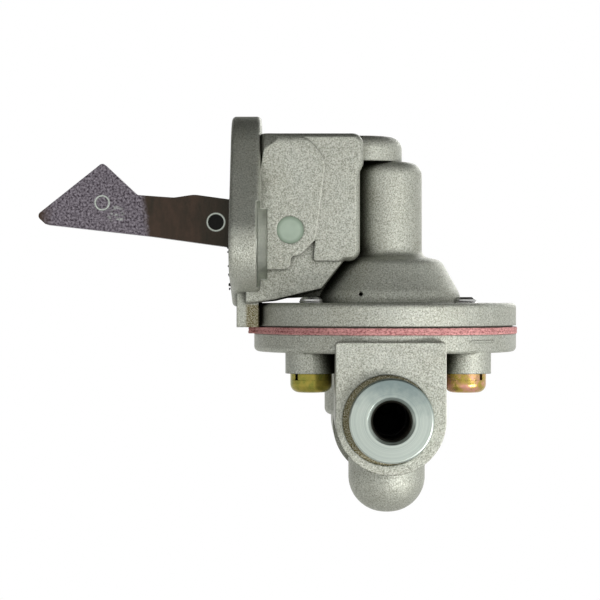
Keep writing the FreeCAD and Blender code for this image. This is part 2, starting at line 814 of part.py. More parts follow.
def dome(body, name, radius, cut=False):
    """A round-ended upright cylinder below the inlet passage, with a small flat at its foot."""
    foot = s.dome_centre - radius
    turned(body, name, outline(
        (0, foot), (radius, foot, radius - s.dome_flat), (radius, s.inlet_port_height),
        (0, s.inlet_port_height)), x=tower_axis, near=s.dome_forward, cut=cut)


def side_span(side, inner, outer):
    """Start and end along the near-side normal of something between two distances."""
    return (inner, outer) if side == NEAR else (-as_size(outer), -as_size(inner))


def port_block(height):
    """A block with a flat top and a round foot about the port's axis."""
    top = s.port_block_top - s.port_block_corner
    reach = s.port_block_half_width - s.port_block_corner
    return belt((tower_axis + reach, top, s.port_block_corner),
                (tower_axis - reach, top, s.port_block_corner),
                (tower_axis, height, s.port_block_half_width))


def hollow_lower_body(body):
    """The dish under the diaphragm, the valve bores, the passages and the port bores."""
    dish_low = clamp_bottom - s.dish_slope_drop
    turned(body, "dish", outline(
        (0, s.well_floor), (s.well_radius, s.well_floor), (s.well_radius, dish_low),
        (dish_radius, clamp_bottom - s.dish_depth),
        (dish_radius, clamp_bottom + PAST), (0, clamp_bottom + PAST)), x=tower_axis, cut=True)
    slab(body, "valve_bores", "XY", s.valve_bore_floor, s.well_floor + PAST,
         *[circle(tower_axis, side * s.valve_offset, s.valve_bore_radius)
           for side in (NEAR, FAR)], cut=True)
    slab(body, "screw_holes", "XY", s.boss_bottom - PAST, clamp_bottom + PAST,
         *screw_circles(screw_hole_radius), cut=True)
    dome(body, "dome_room", s.dome_radius - s.dome_wall, cut=True)
    spigot_depth = s.port_block_face - s.adaptor_spigot_length
    for word, side, height in (("inlet", NEAR, s.inlet_port_height),
                               ("outlet", FAR, s.outlet_port_height)):
        slab(body, f"{word}_riser", "XY", height, s.valve_bore_floor + PAST,
             circle(tower_axis, -side * s.valve_offset, s.valve_port_radius), cut=True)
        spans = (("passage", s.passage_radius, s.valve_offset, s.port_block_face, 0),
                 ("spigot_bore", s.adaptor_spigot_radius, spigot_depth, s.port_block_face, 0),
                 ("port_seat", s.port_seat_radius, s.port_block_face - s.port_seat_depth,
                  s.port_block_face, s.port_seat_shift))
        for what, radius, low, high, shift in spans:
            start, end = side_span(side, low, as_size(high) + PAST)
            slab(body, f"{word}_{what}", "XZ", start, end,
                 circle(tower_axis - shift, height, radius), cut=True)


# Diaphragm, plates, rod, spring and seal


def diaphragm_sheets():
    """Two rubbered fabric discs, clamped at the rim and drawn down in the middle."""
    outer = s.rim_radius + s.sheet_overhang
    for index, word in enumerate(("upper", "lower")):
        body = new_body(f"diaphragm_sheet_{word}")
        top = rim_bottom - index * s.sheet_thickness
        low = top - s.sheet_thickness
        bend = s.plate_radius + s.sheet_bend
        clamp = dish_radius - s.sheet_clamp_gap
        turned(body, "disc", outline(
            (rod_bore_radius, top - s.sheet_sag), (bend, top - s.sheet_sag), (clamp, top),
            (outer, top), (outer, low), (clamp, low), (bend, low - s.sheet_sag),
            (rod_bore_radius, low - s.sheet_sag)), x=tower_axis)
        tab_end = tower_axis - outer - s.sheet_tab_reach
        slab(body, "tab", "XY", low, top,
             box_loop(tab_end, -s.sheet_tab_half_width,
                      tower_axis - screw_pitch_radius, s.sheet_tab_half_width))
        slab(body, "screw_holes", "XY", low - PAST, top + PAST,
             *screw_circles(screw_hole_radius), cut=True)


def diaphragm_plates():
    """Two steel discs with turned-away rims that clamp the sheets on the rod."""
    for word, face, away in (("upper", sheets_top, 1), ("lower", sheets_bottom, -1)):
        body = new_body(f"diaphragm_plate_{word}")
        back = face + away * s.plate_thickness
        lip = back + away * s.plate_lip
        edge = s.plate_radius - s.plate_thickness
        rim = [(s.rod_radius, face), (s.plate_radius, face, s.plate_round),
               (s.plate_radius, lip), (edge, lip), (edge, back), (s.rod_radius, back)]
        turned(body, "disc", outline(*rim), x=tower_axis)


def pull_rod():
    body = new_body("pull_rod")
    head_top = rod_head_bottom + s.rod_head_thickness
    collar_top = upper_plate_top + s.rod_collar_thickness
    rivet_bottom = lower_plate_bottom - s.rod_rivet_thickness
    turned(body, "rod", outline(
        (0, rivet_bottom), (s.rod_rivet_radius, rivet_bottom, s.rod_end_round),
        (s.rod_rivet_radius, lower_plate_bottom), (s.rod_radius, lower_plate_bottom),
        (s.rod_radius, upper_plate_top), (s.rod_collar_radius, upper_plate_top),
        (s.rod_collar_radius, collar_top), (s.rod_radius, collar_top),
        (s.rod_radius, rod_head_bottom), (s.rod_head_radius, rod_head_bottom),
        (s.rod_head_radius, head_top, s.rod_end_round), (0, head_top)), x=tower_axis)


def oil_seal():
    """A lip seal pressed into the bore above the retainer."""
    body = new_body("oil_seal")
    low = s.air_room_top + s.retainer_spigot
    lip = rod_bore_radius
    turned(body, "ring", outline(
        (lip, low), (s.seal_radius, low), (s.seal_radius, seal_top),
        (s.seal_radius - s.seal_lip_thickness, seal_top),
        (s.seal_radius - s.seal_lip_thickness, low + s.seal_lip_thickness),
        (lip + s.seal_lip_thickness, low + s.seal_lip_thickness),
        (lip + s.seal_lip_edge, seal_top - s.seal_lip_drop),
        (lip, seal_top - s.seal_lip_drop)), x=tower_axis)


def seal_retainer():
    """A flanged steel cup that holds the seal up and seats the main spring."""
    body = new_body("seal_retainer")
    low = s.air_room_top - s.retainer_thickness
    hole = s.rod_radius + s.seat_gap
    turned(body, "cup", outline(
        (hole, low), (s.retainer_radius, low, s.retainer_round),
        (s.retainer_radius, s.air_room_top),
        (s.seal_radius, s.air_room_top), (s.seal_radius, s.air_room_top + s.retainer_spigot),
        (hole, s.air_room_top + s.retainer_spigot)), x=tower_axis)


def main_spring():
    top = s.air_room_top - s.retainer_thickness
    coil("diaphragm_spring", s.main_spring_radius, s.main_spring_wire, s.main_spring_turns,
         top - upper_plate_top, tower_axis, 0, upper_plate_top)


# Rocker arm, link lever and pivot


def rocker_arm():
    """A flat steel arm: cam face and tip outside, hub and heel inside."""
    body = new_body("rocker_arm")
    half = s.arm_thickness / 2
    hub_low = s.pivot_rise - s.arm_hub_radius
    hub_high = s.pivot_rise + s.arm_hub_radius
    slab(body, "blade", "XZ", -half, half, outline(
        (-s.arm_nose_reach, s.arm_nose_rise, s.arm_nose_round),
        (-s.arm_belly_reach, s.arm_belly_rise, s.arm_belly_round),
        (s.pivot_forward, hub_low), (s.pivot_forward, hub_high),
        (-s.arm_neck_reach, s.arm_neck_rise, s.arm_neck_round),
        (-s.arm_neck_reach - s.arm_dip_run, s.arm_neck_rise - s.arm_dip_drop, s.arm_neck_round),
        (-s.arm_notch_reach, s.arm_notch_rise, s.arm_notch_round),
        (-s.arm_apex_reach, s.arm_apex_rise, s.arm_apex_round),
        (-s.arm_tip_reach, s.arm_tip_rise, s.arm_tip_round)))
    heel = (s.pivot_forward + s.arm_heel_reach, s.pivot_rise - s.arm_heel_drop)
    slab(body, "hub", "XZ", -half, half,
         belt((s.pivot_forward, s.pivot_rise, s.arm_hub_radius), (*heel, s.arm_heel_radius)))
    slab(body, "pin_hole", "XZ", -half - PAST, half + PAST,
         circle(s.pivot_forward, s.pivot_rise, pin_bore_radius), cut=True)
    mark = (-s.arm_mark_reach, s.arm_mark_rise)
    slab(body, "punch_mark", "XZ", half - s.arm_mark_depth, half + PAST,
         circle(*mark, s.arm_mark_radius + s.arm_mark_width / 2),
         circle(*mark, s.arm_mark_radius - s.arm_mark_width / 2), cut=True)
    slab(body, "dimple", "XZ", half - s.arm_dimple_depth, half + PAST,
         circle(-s.arm_dimple_reach, s.arm_dimple_rise, s.arm_dimple_radius), cut=True)


def link_lever():
    """A fork astride the arm; its knuckles lift the rod's head and its bridge rests on the heel."""
    body = new_body("link_lever")
    outer = link_inner + s.link_cheek_thickness
    knuckle = (tower_axis, knuckle_height, s.link_knuckle_radius)
    hub = (s.pivot_forward, s.pivot_rise, s.link_hub_radius)
    slab(body, "fork", "XZ", -outer, outer, belt(hub, knuckle))
    bridge_low = s.pivot_rise - s.arm_heel_drop + s.arm_heel_radius + s.seat_gap
    low = s.pivot_forward - s.link_hub_radius - PAST
    bridge_start = s.pivot_forward + s.link_bridge_start
    bridge_end = s.pivot_forward + s.link_bridge_end
    tip = tower_axis + s.link_knuckle_radius + PAST
    top = s.pivot_rise + 2 * s.link_hub_radius
    bottom = s.pivot_rise - 2 * s.link_hub_radius
    slab(body, "arm_slot", "XZ", -link_inner, link_inner,
         outline((low, bottom), (bridge_end, bottom), (bridge_end, bridge_low),
                 (bridge_start, bridge_low), (bridge_start, top), (low, top)), cut=True)
    slab(body, "rod_slot", "XZ", -link_inner, link_inner,
         box_loop(bridge_end, bottom, tip, top), cut=True)
    slab(body, "pin_hole", "XZ", -outer - PAST, outer + PAST,
         circle(s.pivot_forward, s.pivot_rise, pin_bore_radius), cut=True)


def pivot():
    pin = new_body("pivot_pin")
    reach = s.chamber_half_width - s.pivot_plug_depth
    slab(pin, "pin", "XZ", -reach, reach,
         circle(s.pivot_forward, s.pivot_rise, s.pivot_pin_radius))
    for word, side in (("near", NEAR), ("far", FAR)):
        body = new_body(f"pin_plug_{word}")
        start, end = side_span(side, reach, s.chamber_half_width)
        slab(body, "plug", "XZ", start, end,
             circle(s.pivot_forward, s.pivot_rise, pin_bore_radius))


def arm_spring():
    """Stands in its pocket and ends just under the arm's sloping underside."""
    hub_low = s.pivot_rise - s.arm_hub_radius
    slope = (s.arm_belly_rise - hub_low) / (s.arm_belly_reach + s.pivot_forward)
    edge = s.arm_spring_forward + s.arm_spring_radius + s.arm_spring_wire
    top = hub_low + slope * (s.pivot_forward - edge) - s.running_fit
    coil("arm_return_spring", s.arm_spring_radius, s.arm_spring_wire, s.arm_spring_turns,
         top - spring_pocket_floor, s.arm_spring_forward, 0, spring_pocket_floor)


# Valves: each is built standing on its seat, and the outlet one is turned over


def valves():
    over = FreeCAD.Rotation(FreeCAD.Vector(1, 0, 0), 180)
    for word, (side, floor) in valve_origins.items():
        turn = over if side == FAR else None
        for piece in (valve_seat, valve_disc, valve_cage):
            place(piece(word), tower_axis, -side * s.valve_offset, floor, turn)
        spring = valve_spring(word)
        place(spring, tower_axis, -side * s.valve_offset,
              floor + side * (valve_disc_top + s.valve_spring_wire), turn)


def valve_seat(word):
    body = new_body(f"{word}_valve_seat")
    turned(body, "ring", outline(
        (s.valve_port_radius, 0), (s.valve_bore_radius, 0),
        (s.valve_bore_radius, s.valve_seat_thickness),
        (s.valve_port_radius, s.valve_seat_thickness)))
    return body


valve_disc_low = s.valve_seat_thickness + s.valve_seat_gap
valve_disc_top = valve_disc_low + s.valve_disc_thickness
valve_roof = s.valve_height - s.valve_cage_wall


def valve_disc(word):
    body = new_body(f"{word}_valve_disc")
    slab(body, "disc", "XY", valve_disc_low, valve_disc_top, circle(0, 0, s.valve_disc_radius))
    return body


def valve_cage(word):
    body = new_body(f"{word}_valve_cage")
    inner = s.valve_bore_radius - s.valve_cage_wall
    turned(body, "cup", outline(
        (inner, s.valve_seat_thickness), (s.valve_bore_radius, s.valve_seat_thickness),
        (s.valve_bore_radius, s.valve_height), (0, s.valve_height), (0, valve_roof),
        (inner, valve_roof)))
    pitch = s.valve_cage_hole_pitch
    slab(body, "holes", "XY", valve_roof - PAST, s.valve_height + PAST,
         *[circle(pitch * cosine(angle), pitch * sine(angle), s.valve_cage_hole_radius)
           for angle in SCREW_ANGLES], cut=True)
    return body


def valve_spring(word):
    return coil(f"{word}_valve_spring", s.valve_spring_radius, s.valve_spring_wire,
                s.valve_spring_turns, valve_roof - valve_disc_top, 0, 0, valve_disc_top)


# Port adaptors: steel union seats pressed into the blocks


def adaptors():
    for word, side, height in (("inlet", NEAR, s.inlet_port_height),
                               ("outlet", FAR, s.outlet_port_height)):
        body = new_body(f"{word}_adaptor")
        seat = s.port_block_face - s.port_seat_depth
        face = s.port_block_face + s.adaptor_stand
        root = s.port_block_face - s.adaptor_spigot_length
        flare = s.port_mouth_radius - s.port_thread_radius
        turned(body, "union", outline(
            (s.port_thread_radius, root), (s.adaptor_spigot_radius, root),
            (s.adaptor_spigot_radius, seat), (s.adaptor_radius, seat),
            (s.adaptor_radius, face, s.adaptor_edge), (s.port_mouth_radius, face),
            (s.port_thread_radius, face - flare)))
        turn = FreeCAD.Rotation(FreeCAD.Vector(1, 0, 0), 90 * side)
        place(body, tower_axis, 0, height, turn)


# Screws and spring washers


def screws_and_washers():
    for number, angle in enumerate(SCREW_ANGLES, 1):
        x, y = screw_spot(angle)
        screw = flange_screw(f"flange_screw_{number}")
        place(screw, x, y, 0, FreeCAD.Rotation(FreeCAD.Vector(0, 0, 1), angle))
        washer = spring_washer(f"spring_washer_{number}")
        place(washer, x, y, 0, FreeCAD.Rotation(FreeCAD.Vector(0, 0, 1), angle))


def flange_screw(name):
    body = new_body(name)
    seat = s.boss_bottom - s.washer_thickness
    tip = s.upper_rim_top + s.screw_tip_stand
    low = seat - s.screw_head_height
    turned(body, "pan_head", outline(
        (0, low), (s.screw_head_radius, low, s.screw_head_round), (s.screw_head_radius, seat),
        (s.screw_radius, seat), (s.screw_radius, tip - s.screw_tip_bevel),
        (s.screw_radius - s.screw_tip_bevel, tip), (0, tip)))
    length = s.screw_cross_length / 2
    width = s.screw_cross_width / 2
    slab(body, "cross", "XY", low - PAST, low + s.screw_cross_depth,
         outline((length, -width), (length, width), (width, width), (width, length),
                 (-width, length), (-width, width), (-length, width), (-length, -width),
                 (-width, -width), (-width, -length), (width, -length), (width, -width)),
         cut=True)
    return body


def spring_washer(name):
    body = new_body(name)
    low = s.boss_bottom - s.washer_thickness
    slab(body, "ring", "XY", low, s.boss_bottom, circle(0, 0, s.washer_radius),
         circle(0, 0, screw_hole_radius))
    slab(body, "split", "XY", low - PAST, s.boss_bottom + PAST,
         box_loop(0, -s.washer_gap / 2, s.washer_radius + PAST, s.washer_gap / 2), cut=True)
    return body


def main():
    upper_body()
    lower_body()
    diaphragm_sheets()
    diaphragm_plates()
    pull_rod()
    oil_seal()
    seal_retainer()
    main_spring()
    rocker_arm()
    link_lever()
    pivot()
    arm_spring()
    valves()
    adaptors()
    screws_and_washers()
    doc.recompute()
    os.makedirs("parts", exist_ok=True)
    bad = [o.Name for o in doc.Objects if "Invalid" in o.State or "Error" in o.State]
    bad += [p.Label for p in PARTS if p.Shape.isNull() or not p.Shape.isValid()]
    if bad:
        raise RuntimeError(f"not sound: {bad}")
    for part in PARTS:
        part.Shape.exportStep(f"parts/{part.Label}.step")


main()
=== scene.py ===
"""Finishes and fine detail for a lever fuel feed pump, laid out as an add-on."""

import json
import math
import random

import bpy
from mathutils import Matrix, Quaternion, Vector


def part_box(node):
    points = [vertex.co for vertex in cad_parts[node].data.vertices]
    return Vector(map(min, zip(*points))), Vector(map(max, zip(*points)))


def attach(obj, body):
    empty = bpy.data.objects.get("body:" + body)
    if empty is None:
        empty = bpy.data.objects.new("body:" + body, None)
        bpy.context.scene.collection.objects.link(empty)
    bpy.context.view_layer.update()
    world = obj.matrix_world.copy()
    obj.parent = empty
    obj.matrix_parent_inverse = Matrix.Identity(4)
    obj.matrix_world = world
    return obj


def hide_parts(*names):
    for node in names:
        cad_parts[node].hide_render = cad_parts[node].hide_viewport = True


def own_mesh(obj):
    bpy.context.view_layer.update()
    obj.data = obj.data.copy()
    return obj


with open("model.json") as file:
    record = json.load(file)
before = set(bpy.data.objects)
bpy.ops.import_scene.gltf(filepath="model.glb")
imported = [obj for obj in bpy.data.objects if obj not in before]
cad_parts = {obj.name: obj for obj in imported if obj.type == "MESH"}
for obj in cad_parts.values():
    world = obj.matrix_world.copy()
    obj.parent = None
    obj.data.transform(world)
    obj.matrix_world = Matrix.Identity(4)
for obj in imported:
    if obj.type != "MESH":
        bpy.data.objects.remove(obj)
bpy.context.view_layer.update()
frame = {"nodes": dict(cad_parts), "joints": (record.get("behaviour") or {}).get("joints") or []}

bl_info = {
    "name": "Fuel Feed Pump",
    "version": (1, 0, 0),
    "blender": (4, 5, 0),
    "location": "3D View > Sidebar > Fuel Pump",
    "description": "Dresses a lever fuel feed pump in its cast, turned, plated and fabric finishes",
    "category": "Object",
}

MM = 0.001
PORTS = {"inlet": -1, "outlet": 1}


# Places read from the frame

def middle(node):
    """The centre of a node's box at rest."""
    low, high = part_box(node)
    return (low + high) / 2


def side_of(node, axis, end):
    """One face of a node's box: axis 0 to 2, end 0 for the low side and 1 for the high side."""
    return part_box(node)[end][axis]


RIM_AXIS = middle("pull_rod")
PIVOT = middle("pivot_pin")
RIM_RADIUS = side_of("upper_body", 0, 1) - RIM_AXIS.x
SCREW_TOP = side_of("flange_screw_1", 2, 1)
SHEET_TOP = side_of("diaphragm_sheet_upper", 2, 1)
SHEET_THICKNESS = SHEET_TOP - side_of("diaphragm_sheet_lower", 2, 1)
SHEET_SAG = SHEET_TOP - side_of("diaphragm_plate_upper", 2, 0)


# Places on the castings

RIGHT = (1.0, 0.0, 0.0)
ACROSS = (0.0, 1.0, 0.0)
UP = (0.0, 0.0, 1.0)
FACE_SKIN = 0.05 * MM
BOLT_REACH = 20 * MM
SPOT_FACE_RADIUS = 10.08 * MM
SPOT_FACE_SPAN = (5.85 * MM, 8.15 * MM)
# Bounds of the painted olive shade on the tab.
TAB_SHADE_TOP = -12.9 * MM
TAB_SHADE_LEFT = 3.2 * MM
TAB_SHADE_RIGHT = 6.4 * MM
# The painted olive shadow that each port adaptor casts to its left on its seat.
SEAT_SHADOW_RADIUS = 9.8 * MM
SEAT_SHADOW_SHIFT = 0.7 * MM
SEAT_SHADOW_SPAN = (30.4 * MM, 30.85 * MM)
PORT_BORE_RADIUS = 4.32 * MM
CAVITY_SPAN = (0.0, 30 * MM)


# Places on the arm, with their radii

PUNCH_MARK = Vector((-29.7, 0.0, 10.2)) * MM
PUNCH_MARK_RADIUS = 1.6 * MM
DIMPLE = Vector((-3.7, 0.0, 5.8)) * MM
DIMPLE_RADIUS = 1.95 * MM
DIMPLE_PIT_RADIUS = 1.75 * MM
SMUDGE = Vector((-26.5, 0.0, 7.5)) * MM
SMUDGE_RADIUS = 1.5 * MM
OIL_START = -19.6 * MM
ROOT_START = -9.0 * MM
TIP_START = -41.0 * MM


# Crumbs of residue on the mounting face, each with its Y, Z and radius in millimetres

CRUMBS = ((-26.6, -0.6, 0.35), (-26.3, -1.6, 0.28), (-22.5, -4.6, 0.3), (-19.0, -6.5, 0.38),
          (-16.2, -8.6, 0.42), (-15.8, -9.5, 0.3))


# Widths of the broader tones and marks

CAST_DRIFT = 9 * MM
CUTTER_MARK = 1.2 * MM
ARM_SPECKLE = 0.5 * MM
ARM_DRIFT = 2.0 * MM
TURNED_DRIFT = 3 * MM
GOLD_DRIFT = 2.4 * MM
ROSE_DRIFT = 1.7 * MM
FABRIC_THREAD = 0.55 * MM
FABRIC_DRIFT = 5 * MM
STEEL_DRIFT = 1.5 * MM
PLUG_DRIFT = 4 * MM


# Fineness of the meshes and of the edge shading

EDGE_SAMPLES = 6
COIL_STEPS = 48
WIRE_SIDES = 12
THREAD_STEPS = 40
SHEET_STEPS = 360
BAR_STEPS = 16


# Socket numbers of a Mix node that mixes colours

MIX_SHARE = 0
MIX_FIRST = 6
MIX_SECOND = 7
MIX_RESULT = 2


# Stage, in metres and watts

WHITE = (1.0, 1.0, 1.0)
SURROUND_SEEN = 1.0
SURROUND_LIT = 0.55
FLOOR_RADIUS = 0.48
FLOOR_HEIGHT = -0.16
FLAG_COLOUR = (0.03, 0.03, 0.028)
FLAGS = (("flag_above", (0.0, 0.12, 0.30), 0, 0.75),
         ("flag_left", (-0.42, 0.12, 0.28), 90, 0.6))
LAMPS = (("key_light", (0.20, -0.22, -0.17), 0.16, 1.3),
         ("fill_light", (0.03, -0.20, -0.22), 0.16, 0.6),
         ("back_light", (0.25, 0.55, 0.25), 0.35, 1.6))
LAMP_AIM = Vector((0.02, 0.0, -0.01))
CAMERA_PLACE = (0.0155, -0.45, -0.012)
CAMERA_FIELD = 0.138
CAMERA_SENSOR = 36.0
CAMERA_CLIP = 0.05


# Properties

def paint(name, description, red, green, blue):
    """A colour property whose default is written in 0 to 255 steps, as a paint chart gives it."""
    return bpy.props.FloatVectorProperty(
        name=name, description=description, subtype="COLOR", size=3, min=0.0, max=1.0,
        default=[to_linear(channel / 255) for channel in (red, green, blue)])


def to_linear(value):
    return value / 12.92 if value <= 0.04045 else ((value + 0.055) / 1.055) ** 2.4


def size(name, description, millimetres):
    """A length property with its default in millimetres."""
    return bpy.props.FloatProperty(
        name=name, description=description, default=millimetres * MM, min=0.0,
        subtype="DISTANCE", unit="LENGTH", precision=5)


class PumpColours(bpy.types.PropertyGroup):
    """Colours of the pump's finishes under plain white light."""

    cast_light: paint("Cast light", "Bright grains of the blasted casting", 208, 210, 200)
    cast_dark: paint("Cast dark", "Dark grains of the blasted casting", 104, 109, 96)
    cast_warm: paint("Cast warm", "Faint warm staining of the casting", 178, 174, 156)
    # Painted highlight on the castings' edges that face the key lamp.
    edge_highlight: paint("Edge highlight", "Edges of the castings that catch the light", 238, 238, 226)
    milled: paint("Milled face", "Cutter-finished faces of the castings", 184, 188, 178)
    # Painted shade: this olive darkens the tab and the port seats where shade and shadow fall.
    painted_olive_shade: paint("Painted olive shade", "Olive shade painted on the tab and round the port adaptors", 92, 84, 44)
    crevice: paint("Crevice", "Dark olive shade of the castings' inner corners", 40, 41, 26)
    # Painted shade in the ports' passages past the adaptors, and in the arm's dimple pit.
    cavity: paint("Cavity", "Painted shade inside passages, bores and the dimple's pit", 14, 14, 12)
    arm_light: paint("Arm light", "Bright grains on the arm's hardened end", 150, 143, 151)
    arm_dark: paint("Arm dark", "Dark grains on the arm's hardened end", 54, 46, 54)
    arm_brown: paint("Arm brown", "Oiled brown part of the arm", 70, 56, 46)
    arm_root: paint("Arm root", "Darker end of the arm beside the flange", 44, 42, 34)
    struck: paint("Struck metal", "Bare metal round a punched mark", 206, 214, 204)
    plated: paint("Plated steel", "Clear zinc on the turned port adaptors", 196, 204, 194)
    # Painted reflection: greys the top of the adaptors' faces; it also darkens their turning marks.
    plated_shade: paint("Plated shade", "Blue grey painted reflection on the zinc, also in its turning marks", 128, 142, 140)
    # Painted shade on the bore and threads of the port adaptors.
    bore: paint("Port bore", "Steel with painted shade in the ports' bores and threads", 58, 56, 50)
    plug: paint("Pivot plug", "Smooth plug over the pivot pin", 176, 192, 175)
    plug_rim: paint("Plug rim", "Duller edge of the pivot plug", 128, 145, 126)
    gold: paint("Gold zinc", "Yellow passivated screws", 196, 168, 84)
    olive: paint("Olive zinc", "Green cast of the passivated screws", 128, 128, 58)
    rose: paint("Rose zinc", "Pink cast of the passivated screws", 214, 158, 138)
    fabric: paint("Fabric edge", "Pink cut edge of the rubbered fabric", 226, 164, 160)
    fabric_dark: paint("Fabric weave", "Dark red threads in the fabric", 120, 28, 38)
    steel: paint("Turned steel", "Bright turned steel inside the pump", 186, 186, 184)
    steel_dark: paint("Turned steel shade", "Oil shade on the turned steel", 120, 118, 112)
    wire: paint("Spring wire", "Drawn spring wire", 158, 156, 152)
    brass: paint("Brass", "Valve seats and cages", 206, 174, 104)
    rubber: paint("Rubber", "Oil seal", 34, 34, 34)
    plastic: paint("Valve disc", "Hard plastic valve discs", 62, 56, 50)
    soot: paint("Soot", "Dark residue on the mounting face", 34, 33, 30)
    floor: paint("Floor", "Floor of the stage", 236, 236, 234)


class PumpSizes(bpy.types.PropertyGroup):
    """Sizes of the pump's fine detail."""

    cast_grain: size("Cast grain", "Width of a grain on the blasted casting", 0.3)
    cast_relief: size("Cast relief", "Height of the casting's grain", 0.05)
    crevice_reach: size("Crevice reach", "How far the shade of an inner corner spreads", 5.0)
    cast_edge: size("Cast edge", "Softness of the casting's edges and corners", 0.45)
    steel_edge: size("Steel edge", "Softness of the steel pieces' edges", 0.18)
    port_pitch: size("Port pitch", "Pitch of the port threads", 1.0)
    screw_pitch: size("Screw pitch", "Pitch of the rim screws", 0.8)
    thread_depth: size("Thread depth", "How far a thread stands from its bore or shank", 0.3)
    fray: size("Fray", "Unevenness of the diaphragm's cut edge", 0.22)
    main_wire: size("Main spring wire", "Wire radius of the diaphragm spring", 0.75)
    arm_wire: size("Arm spring wire", "Wire radius of the arm's return spring", 0.4)
    valve_wire: size("Valve spring wire", "Wire radius of the valve springs", 0.18)
    turning_pitch: size("Turning pitch", "Spacing of the marks on turned faces", 0.35)


# Node trees

def put(tree, kind, sockets=None, **settings):
    """Place a node; each socket is linked to a socket or set to a value."""
    node = tree.nodes.new(f"ShaderNode{kind}")
    for name, value in settings.items():
        setattr(node, name, value)
    for name, value in (sockets or {}).items():
        join(tree, value, node.inputs[name])
    return node


def join(tree, value, socket):
    if isinstance(value, bpy.types.NodeSocket):
        tree.links.new(value, socket)
    elif socket.type == "RGBA":
        socket.default_value = (*value[:3], 1.0)
    else:
        socket.default_value = value


def maths(tree, operation, *values, clamp=False):
    node = put(tree, "Math", dict(enumerate(values)), operation=operation, use_clamp=clamp)
    return node.outputs[0]


def sloped(tree, value, start, change, clamp=False):
    """The start where the value is 0, and the start plus the change where it is 1."""
    return maths(tree, "MULTIPLY_ADD", value, change, start, clamp=clamp)


def vectors(tree, operation, *values):
    node = put(tree, "VectorMath", dict(enumerate(values)), operation=operation)
    return node.outputs["Value" if operation in ("LENGTH", "DOT_PRODUCT") else "Vector"]


def mixed(tree, mask, first, second):
    """The first colour where the mask is 0 and the second where it is 1."""
    node = put(tree, "Mix", {MIX_SHARE: mask, MIX_FIRST: first, MIX_SECOND: second},
               data_type="RGBA")
    return node.outputs[MIX_RESULT]


def part_place(tree):
    return put(tree, "TexCoord").outputs["Object"]


def seen_directly(tree):
    """1 for what the camera sees straight on, in a reflection or through something clear."""
    rays = put(tree, "LightPath").outputs
    return maths(tree, "MAXIMUM", rays["Is Camera Ray"],
                 maths(tree, "MAXIMUM", rays["Is Glossy Ray"], rays["Is Transmission Ray"]))


def shared_group(name, inputs, outputs, build):
    """A shader group made once; build returns the sockets that feed its outputs."""
    tree = bpy.data.node_groups.get(name)
    if tree:
        return tree
    tree = bpy.data.node_groups.new(name, "ShaderNodeTree")
    for label, kind, default in inputs:
        socket = tree.interface.new_socket(label, in_out="INPUT", socket_type=f"NodeSocket{kind}")
        socket.default_value = default
    for label, kind in outputs:
        tree.interface.new_socket(label, in_out="OUTPUT", socket_type=f"NodeSocket{kind}")
    given = tree.nodes.new("NodeGroupInput").outputs
    made = tree.nodes.new("NodeGroupOutput").inputs
    for label, value in build(tree, given).items():
        tree.links.new(value, made[label])
    return tree


def grain_group():
    """Two colours in grains of one size, drawn out by the stretch."""
    def build(tree, given):
        where = vectors(tree, "MULTIPLY", part_place(tree), given["Stretch"])
        scale = maths(tree, "DIVIDE", 1.0, given["Size"])
        noise = put(tree, "TexNoise", {"Vector": where, "Scale": scale, "Detail": 2.0,
                                       "Roughness": 0.65}).outputs["Fac"]
        centred = maths(tree, "SUBTRACT", noise, 0.5)
        mask = sloped(tree, centred, start=given["Balance"], change=given["Contrast"], clamp=True)
        return {"Colour": mixed(tree, mask, given["Dark"], given["Light"]), "Mask": mask}

    return shared_group("Grain", [
        ("Light", "Color", (0.8, 0.8, 0.8, 1.0)), ("Dark", "Color", (0.2, 0.2, 0.2, 1.0)),
        ("Size", "Float", 0.001), ("Contrast", "Float", 2.0), ("Balance", "Float", 0.5),
        ("Stretch", "Vector", (1.0, 1.0, 1.0))],
        [("Colour", "Color"), ("Mask", "Float")], build)


def fade_group():
    """A mask that rises from 0 at Start to 1 one Length along the direction, with a wavy front."""
    def build(tree, given):
        where = part_place(tree)
        along = vectors(tree, "DOT_PRODUCT", vectors(tree, "SUBTRACT", where, given["Start"]),
                        given["Direction"])
        waves = put(tree, "TexNoise", {"Vector": where, "Scale": 600.0, "Detail": 3.0}).outputs["Fac"]
        wobble = maths(tree, "MULTIPLY", maths(tree, "SUBTRACT", waves, 0.5), given["Wave"])
        reach = maths(tree, "ADD", along, wobble)
        return {"Mask": maths(tree, "DIVIDE", reach, given["Length"], clamp=True)}

    return shared_group("Fade", [
        ("Start", "Vector", (0.0, 0.0, 0.0)), ("Direction", "Vector", (1.0, 0.0, 0.0)),
        ("Length", "Float", 0.001), ("Wave", "Float", 0.0)], [("Mask", "Float")], build)


